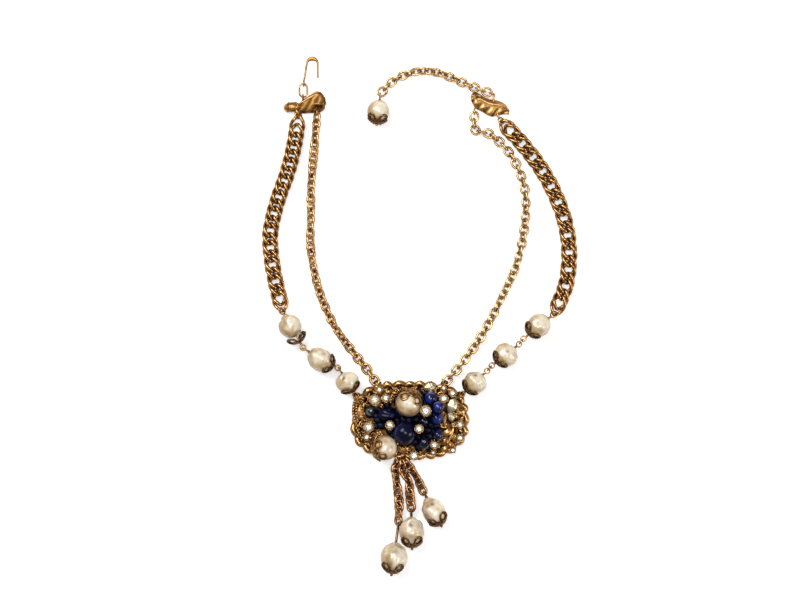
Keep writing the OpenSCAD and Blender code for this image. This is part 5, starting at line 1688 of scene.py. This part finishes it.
class NECKLACE_OT_clasp(bpy.types.Operator):
    """Hook, its long ring and the two clasp leaves"""

    bl_idname = "necklace.clasp"
    bl_label = "Clasp"

    def execute(self, context):
        arch = np.array((-43.65, 161.5, 0.43))
        eye = np.array((-47.5, 152.1, 1.5))
        shape = Shape()
        path, radius, flat = [], [], []
        foot = eye + np.array((0.1, 1.1, 0))
        start = arch - np.array((2.5, 0, 0))
        for f in np.linspace(0, 1, 10)[:-1]:
            path.append(foot + (start - foot) * f)
            radius.append(0.40)
            flat.append(1.0)
        for a in np.linspace(180, 0, 25):
            c, s = math.cos(math.radians(a)), math.sin(math.radians(a))
            mid = 2.38 - 0.42 * max(s, 0) ** 1.5
            path.append(arch + np.array((mid * c, mid * s * 1.0, 0)))
            swell = 0.42 + 0.55 * max(s, 0) ** 1.5
            radius.append(swell)
            flat.append(0.42 / swell * 0.98)
        for f in np.linspace(0.12, 1, 8):
            path.append(arch + np.array((2.38 + 0.12 * f, -6.4 * f, 0)))
            radius.append(0.42 - 0.10 * f)
            flat.append(1.0)
        up = np.tile((0.0, 0.0, 1.0), (len(path), 1))
        shape.add(*tube(path, radius, 12, up=up, flat=flat, core=arch + np.array((0, -3, 0))))
        shape.add(*ball(path[-1], 0.42, 14))
        shape.add(*tube(ring_path(eye, (0, 1, 0), (0, 0, 1), 1.1, 32), 0.35, 10, True, core=eye))
        shape.piece("bent_hook", finish_of("ochre"), ("hook",), "antique_gold")

        middle = np.array((-47.7, 149.0, 1.6))
        t = np.arange(48) * FULL_TURN / 48
        path = np.column_stack((1.75 * np.cos(t), 1.75 * np.sin(t) + 1.25 * np.sign(np.sin(t) + 1e-12),
                                0 * t))
        shape = Shape()
        shape.add(*tube(path + middle, 0.38, 10, True, core=middle))
        shape.piece("oval_hook_ring", finish_of("bronze"), ("hook_ring",), "antique_gold")
        self.left_leaf()
        self.right_leaf()
        return {"FINISHED"}

    def loop(self, shape, spot, direction, turn, root, radius=1.2):
        """Soldered loop: a ring and its short lug."""
        spot, root = np.array(spot, float), np.array(root, float)
        d = math.radians(direction)
        along = np.array((math.cos(d), math.sin(d), 0.0))
        side = np.array((-math.sin(d), math.cos(d), 0.0))
        r = math.radians(turn)
        across = side * math.cos(r) + np.array((0, 0, 1.0)) * math.sin(r)
        shape.add(*tube(ring_path(spot, along, across, radius, 36), 0.35, 10, True, core=spot))
        start = spot + radius * math.copysign(1, float((root - spot) @ along)) * along
        shape.add(*tube([start, start * 0.6 + root * 0.4, root], [0.5, 0.48, 0.46], 10))

    def left_leaf(self):
        stations = [
            ((-51.6, 140.6), (-51.5, 140.2)), ((-50.2, 142.8), (-49.8, 138.9)),
            ((-48.6, 144.2), (-47.6, 138.6)),
            ((-46.2, 145.9), (-45.2, 138.7)), ((-44.0, 147.4), (-43.2, 138.8)),
            ((-42.0, 148.6), (-41.2, 138.9)),
            ((-40.3, 148.5), (-39.7, 139.3)), ((-38.7, 147.2), (-38.3, 140.4)),
            ((-38.6, 145.6), (-37.8, 141.8)), ((-38.9, 144.6), (-38.2, 143.6)),
        ]

        def relief(uu, vv, x, y):
            veins = np.cos(FULL_TURN * 5.0 * (uu + 0.30 * vv))
            ridge = np.exp(-((vv - 0.09 - 0.06 * uu) / 0.09) ** 2) * smooth_step(0.75, 0.45, uu)
            hollow = np.exp(-(((x + 41.0) / 1.4) ** 2 + ((y - 141.3) / 0.8) ** 2))
            fold = np.exp(-(((x + 40.8) / 1.6) ** 2 + ((y - 142.8) / 0.45) ** 2))
            z = 0.20 * veins * smooth_step(0.18, 0.4, vv) + 0.75 * ridge - 1.2 * hollow + 0.45 * fold
            # On top of an even darkening of the whole blade: painted shade and patina in the vein valleys,
            # painted shade in the hollow, and painted highlights along the ridge and the fold.
            dark = 0.60 + 0.36 * smooth_step(0.2, -0.9, veins) + hollow - 1.1 * ridge - 0.9 * fold
            return z, np.clip(dark, 0, 1)

        shape = Shape()
        shape.add(*edged_leaf_parts(stations, 0.95, 1.65, 0.75, relief))
        rolled = np.array([(-54.6, 141.1, 2.2), (-53.2, 141.35, 2.3), (-51.4, 141.7, 2.3),
                           (-50.0, 141.9, 2.1), (-49.0, 142.0, 1.7)])
        shape.add(*tube(rolled, [2.0, 2.25, 2.1, 1.5, 0.8], 24))
        # The rim of the rolled end gets painted shade (0.75); the lump below is darker on its underside.
        rim = ring_path((-54.75, 141.1, 2.3), np.array((0, 1.0, 0)), np.array((0.16, 0, 1.0)), 1.95, 32)
        rim_points, rim_faces, _ = tube(rim, 0.32, 8, True)
        shape.add(rim_points, rim_faces, 0.75)
        s = np.linspace(0, 1, 60)
        angle = FULL_TURN * 1.7 * s
        curl = np.column_stack((-54.4 + 5.8 * s, 141.5 + 0.6 * s + 2.18 * np.cos(angle) * (1 - 0.25 * s),
                                2.2 + 2.08 * np.sin(angle) * (1 - 0.25 * s)))
        shape.add(*tube(curl, 0.24, 8, core=(-51.0, 141.8, 2.1)))
        lump = [(-51.2, 140.6, 1.7), (-50.6, 139.4, 1.7), (-50.0, 138.5, 1.7)]
        shape.add(*tube(lump, [1.25, 1.35, 0.9], 14, core=(-50.4, 139.2, -1.0)))
        self.loop(shape, (-47.8, 145.9, 1.6), 90, 90, (-47.2, 143.2, 2.3))
        self.loop(shape, (-41.5, 138.9, 2.3), 90, 90, (-41.5, 141.4, 1.5))
        self.loop(shape, (-49.9, 137.8, CURB_REST), -96, -33.6, (-49.6, 141.2, 1.9), 1.5)
        shape.piece("clasp_leaf_left", finish_of("leaf_bronze"), ("leaf_left",), "bronze_gold")

    def right_leaf(self):
        stations = [
            ((27.9, 146.6), (27.8, 145.2)), ((28.6, 147.8), (28.6, 143.0)), ((30.2, 148.2), (29.8, 141.2)),
            ((32.2, 147.3), (31.6, 140.0)), ((34.2, 146.0), (33.4, 139.2)), ((36.2, 145.2), (35.2, 137.9)),
            ((38.4, 144.8), (37.4, 137.2)), ((40.8, 144.3), (39.4, 137.6)), ((43.2, 143.1), (41.8, 138.1)),
            ((44.8, 141.2), (43.8, 138.2)), ((45.3, 139.4), (45.0, 138.3)),
        ]

        def relief(uu, vv, x, y):
            veins = np.cos(FULL_TURN * 5.5 * (uu + 0.22 * vv))
            spine = np.exp(-((vv - 0.26) / 0.10) ** 2)
            pit = np.exp(-(((x - 31.0) / 1.2) ** 2 + ((y - 146.1) / 0.7) ** 2))
            z = 0.30 * veins * smooth_step(0.42, 0.62, vv) + 0.45 * spine - 1.0 * pit
            # Painted shade in the pit, in the vein valleys, along a line where the veins begin and along one
            # edge.
            dark = 0.12 + 0.9 * smooth_step(0.3, -0.9, veins) * smooth_step(0.42, 0.6, vv) + 1.1 * pit
            dark = dark + 0.6 * np.exp(-((vv - 0.43) / 0.05) ** 2) + 0.5 * smooth_step(0.10, 0.0, vv)
            return z, dark

        shape = Shape()
        shape.add(*edged_leaf_parts(stations, 0.9, 1.4, 0.75, relief))
        self.loop(shape, (37.3, 147.5, 2.3), 163, 90, (38.0, 143.8, 2.2))
        self.loop(shape, (29.5, 139.3, 2.3), 90, 90, (31.0, 142.0, 1.4))
        self.loop(shape, (41.6, 135.3, CURB_REST), -48, -33.6, (39.6, 139.4, 2.3), 1.5)
        shape.piece("clasp_leaf_right", finish_of("leaf_gold"), ("leaf_right",), "antique_gold")


class NECKLACE_OT_stage(bpy.types.Operator):
    """Pale surface, soft studio lights and the camera overhead"""

    bl_idname = "necklace.stage"
    bl_label = "Stage"

    def execute(self, context):
        stage = context.scene.necklace_stage
        mesh = bpy.data.meshes.new("surface")
        side = FLOOR_HALF
        corners = [(-side, -side, 0), (side, -side, 0), (side, side, 0), (-side, side, 0)]
        mesh.from_pydata(corners, [], [(0, 1, 2, 3)])
        mesh.transform(Matrix.Translation((0, 0, -FLOOR_DROP)))
        floor = bpy.data.objects.new("surface", mesh)
        context.scene.collection.objects.link(floor)
        mesh.materials.append(pale_surface("pale_surface", tuple(context.scene.necklace_colours.surface)))
        for name, spot, size, power in (
            ("main_light", (-0.40, 0.50, 0.80), 0.55, stage.key_power),
            ("top_light", (0.12, 0.10, 1.25), 0.45, stage.key_power * 0.75),
            ("side_light", (0.80, -0.25, 0.55), 0.35, stage.key_power * 0.35),
        ):
            lamp = bpy.data.lights.new(name, "AREA")
            lamp.size = size
            lamp.energy = power
            obj = bpy.data.objects.new(name, lamp)
            obj.location = spot
            obj.rotation_euler = (Vector((0, 0.05, 0)) - Vector(spot)).to_track_quat("-Z", "Y").to_euler()
            context.scene.collection.objects.link(obj)
        world = bpy.data.worlds.new("room")
        world.use_nodes = True
        world.node_tree.nodes["Background"].inputs["Color"].default_value = (1.0, 0.99, 0.97, 1.0)
        world.node_tree.nodes["Background"].inputs["Strength"].default_value = stage.sky
        context.scene.world = world
        context.scene.view_settings.view_transform = "Standard"
        camera = bpy.data.cameras.new("camera")
        camera.sensor_width = 36.0
        camera.lens = 36.0 * (stage.camera_height - 0.004) / 0.36
        obj = bpy.data.objects.new("camera", camera)
        obj.location = (-0.00405, 0.05445, stage.camera_height)
        context.scene.collection.objects.link(obj)
        context.scene.camera = obj
        return {"FINISHED"}


STEPS = (
    NECKLACE_OT_round_links, NECKLACE_OT_curb_links, NECKLACE_OT_pearls, NECKLACE_OT_caps, NECKLACE_OT_pins,
    NECKLACE_OT_plate, NECKLACE_OT_stones, NECKLACE_OT_glass, NECKLACE_OT_leaves, NECKLACE_OT_clasp,
    NECKLACE_OT_stage,
)


class NECKLACE_PT_panel(bpy.types.Panel):
    """Sizes, colours and the steps that make the necklace"""

    bl_label = "Pearl necklace"
    bl_idname = "NECKLACE_PT_panel"
    bl_space_type = "VIEW_3D"
    bl_region_type = "UI"
    bl_category = "Necklace"

    def draw(self, context):
        for group in (context.scene.necklace_sizes, context.scene.necklace_colours,
                      context.scene.necklace_stage):
            box = self.layout.box()
            for name in group.__annotations__:
                box.prop(group, name)
        for step in STEPS:
            self.layout.operator(step.bl_idname)


CLASSES = (NecklaceSizes, NecklaceColours, NecklaceStage, *STEPS, NECKLACE_PT_panel)


def register():
    for item in CLASSES:
        bpy.utils.register_class(item)
    bpy.types.Scene.necklace_sizes = bpy.props.PointerProperty(type=NecklaceSizes)
    bpy.types.Scene.necklace_colours = bpy.props.PointerProperty(type=NecklaceColours)
    bpy.types.Scene.necklace_stage = bpy.props.PointerProperty(type=NecklaceStage)


def unregister():
    for name in ("necklace_stage", "necklace_colours", "necklace_sizes"):
        delattr(bpy.types.Scene, name)
    for item in reversed(CLASSES):
        bpy.utils.unregister_class(item)


def main():
    register()
    for step in STEPS:
        group, name = step.bl_idname.split(".")
        getattr(getattr(bpy.ops, group), name)()


if __name__ == "__main__":
    main()
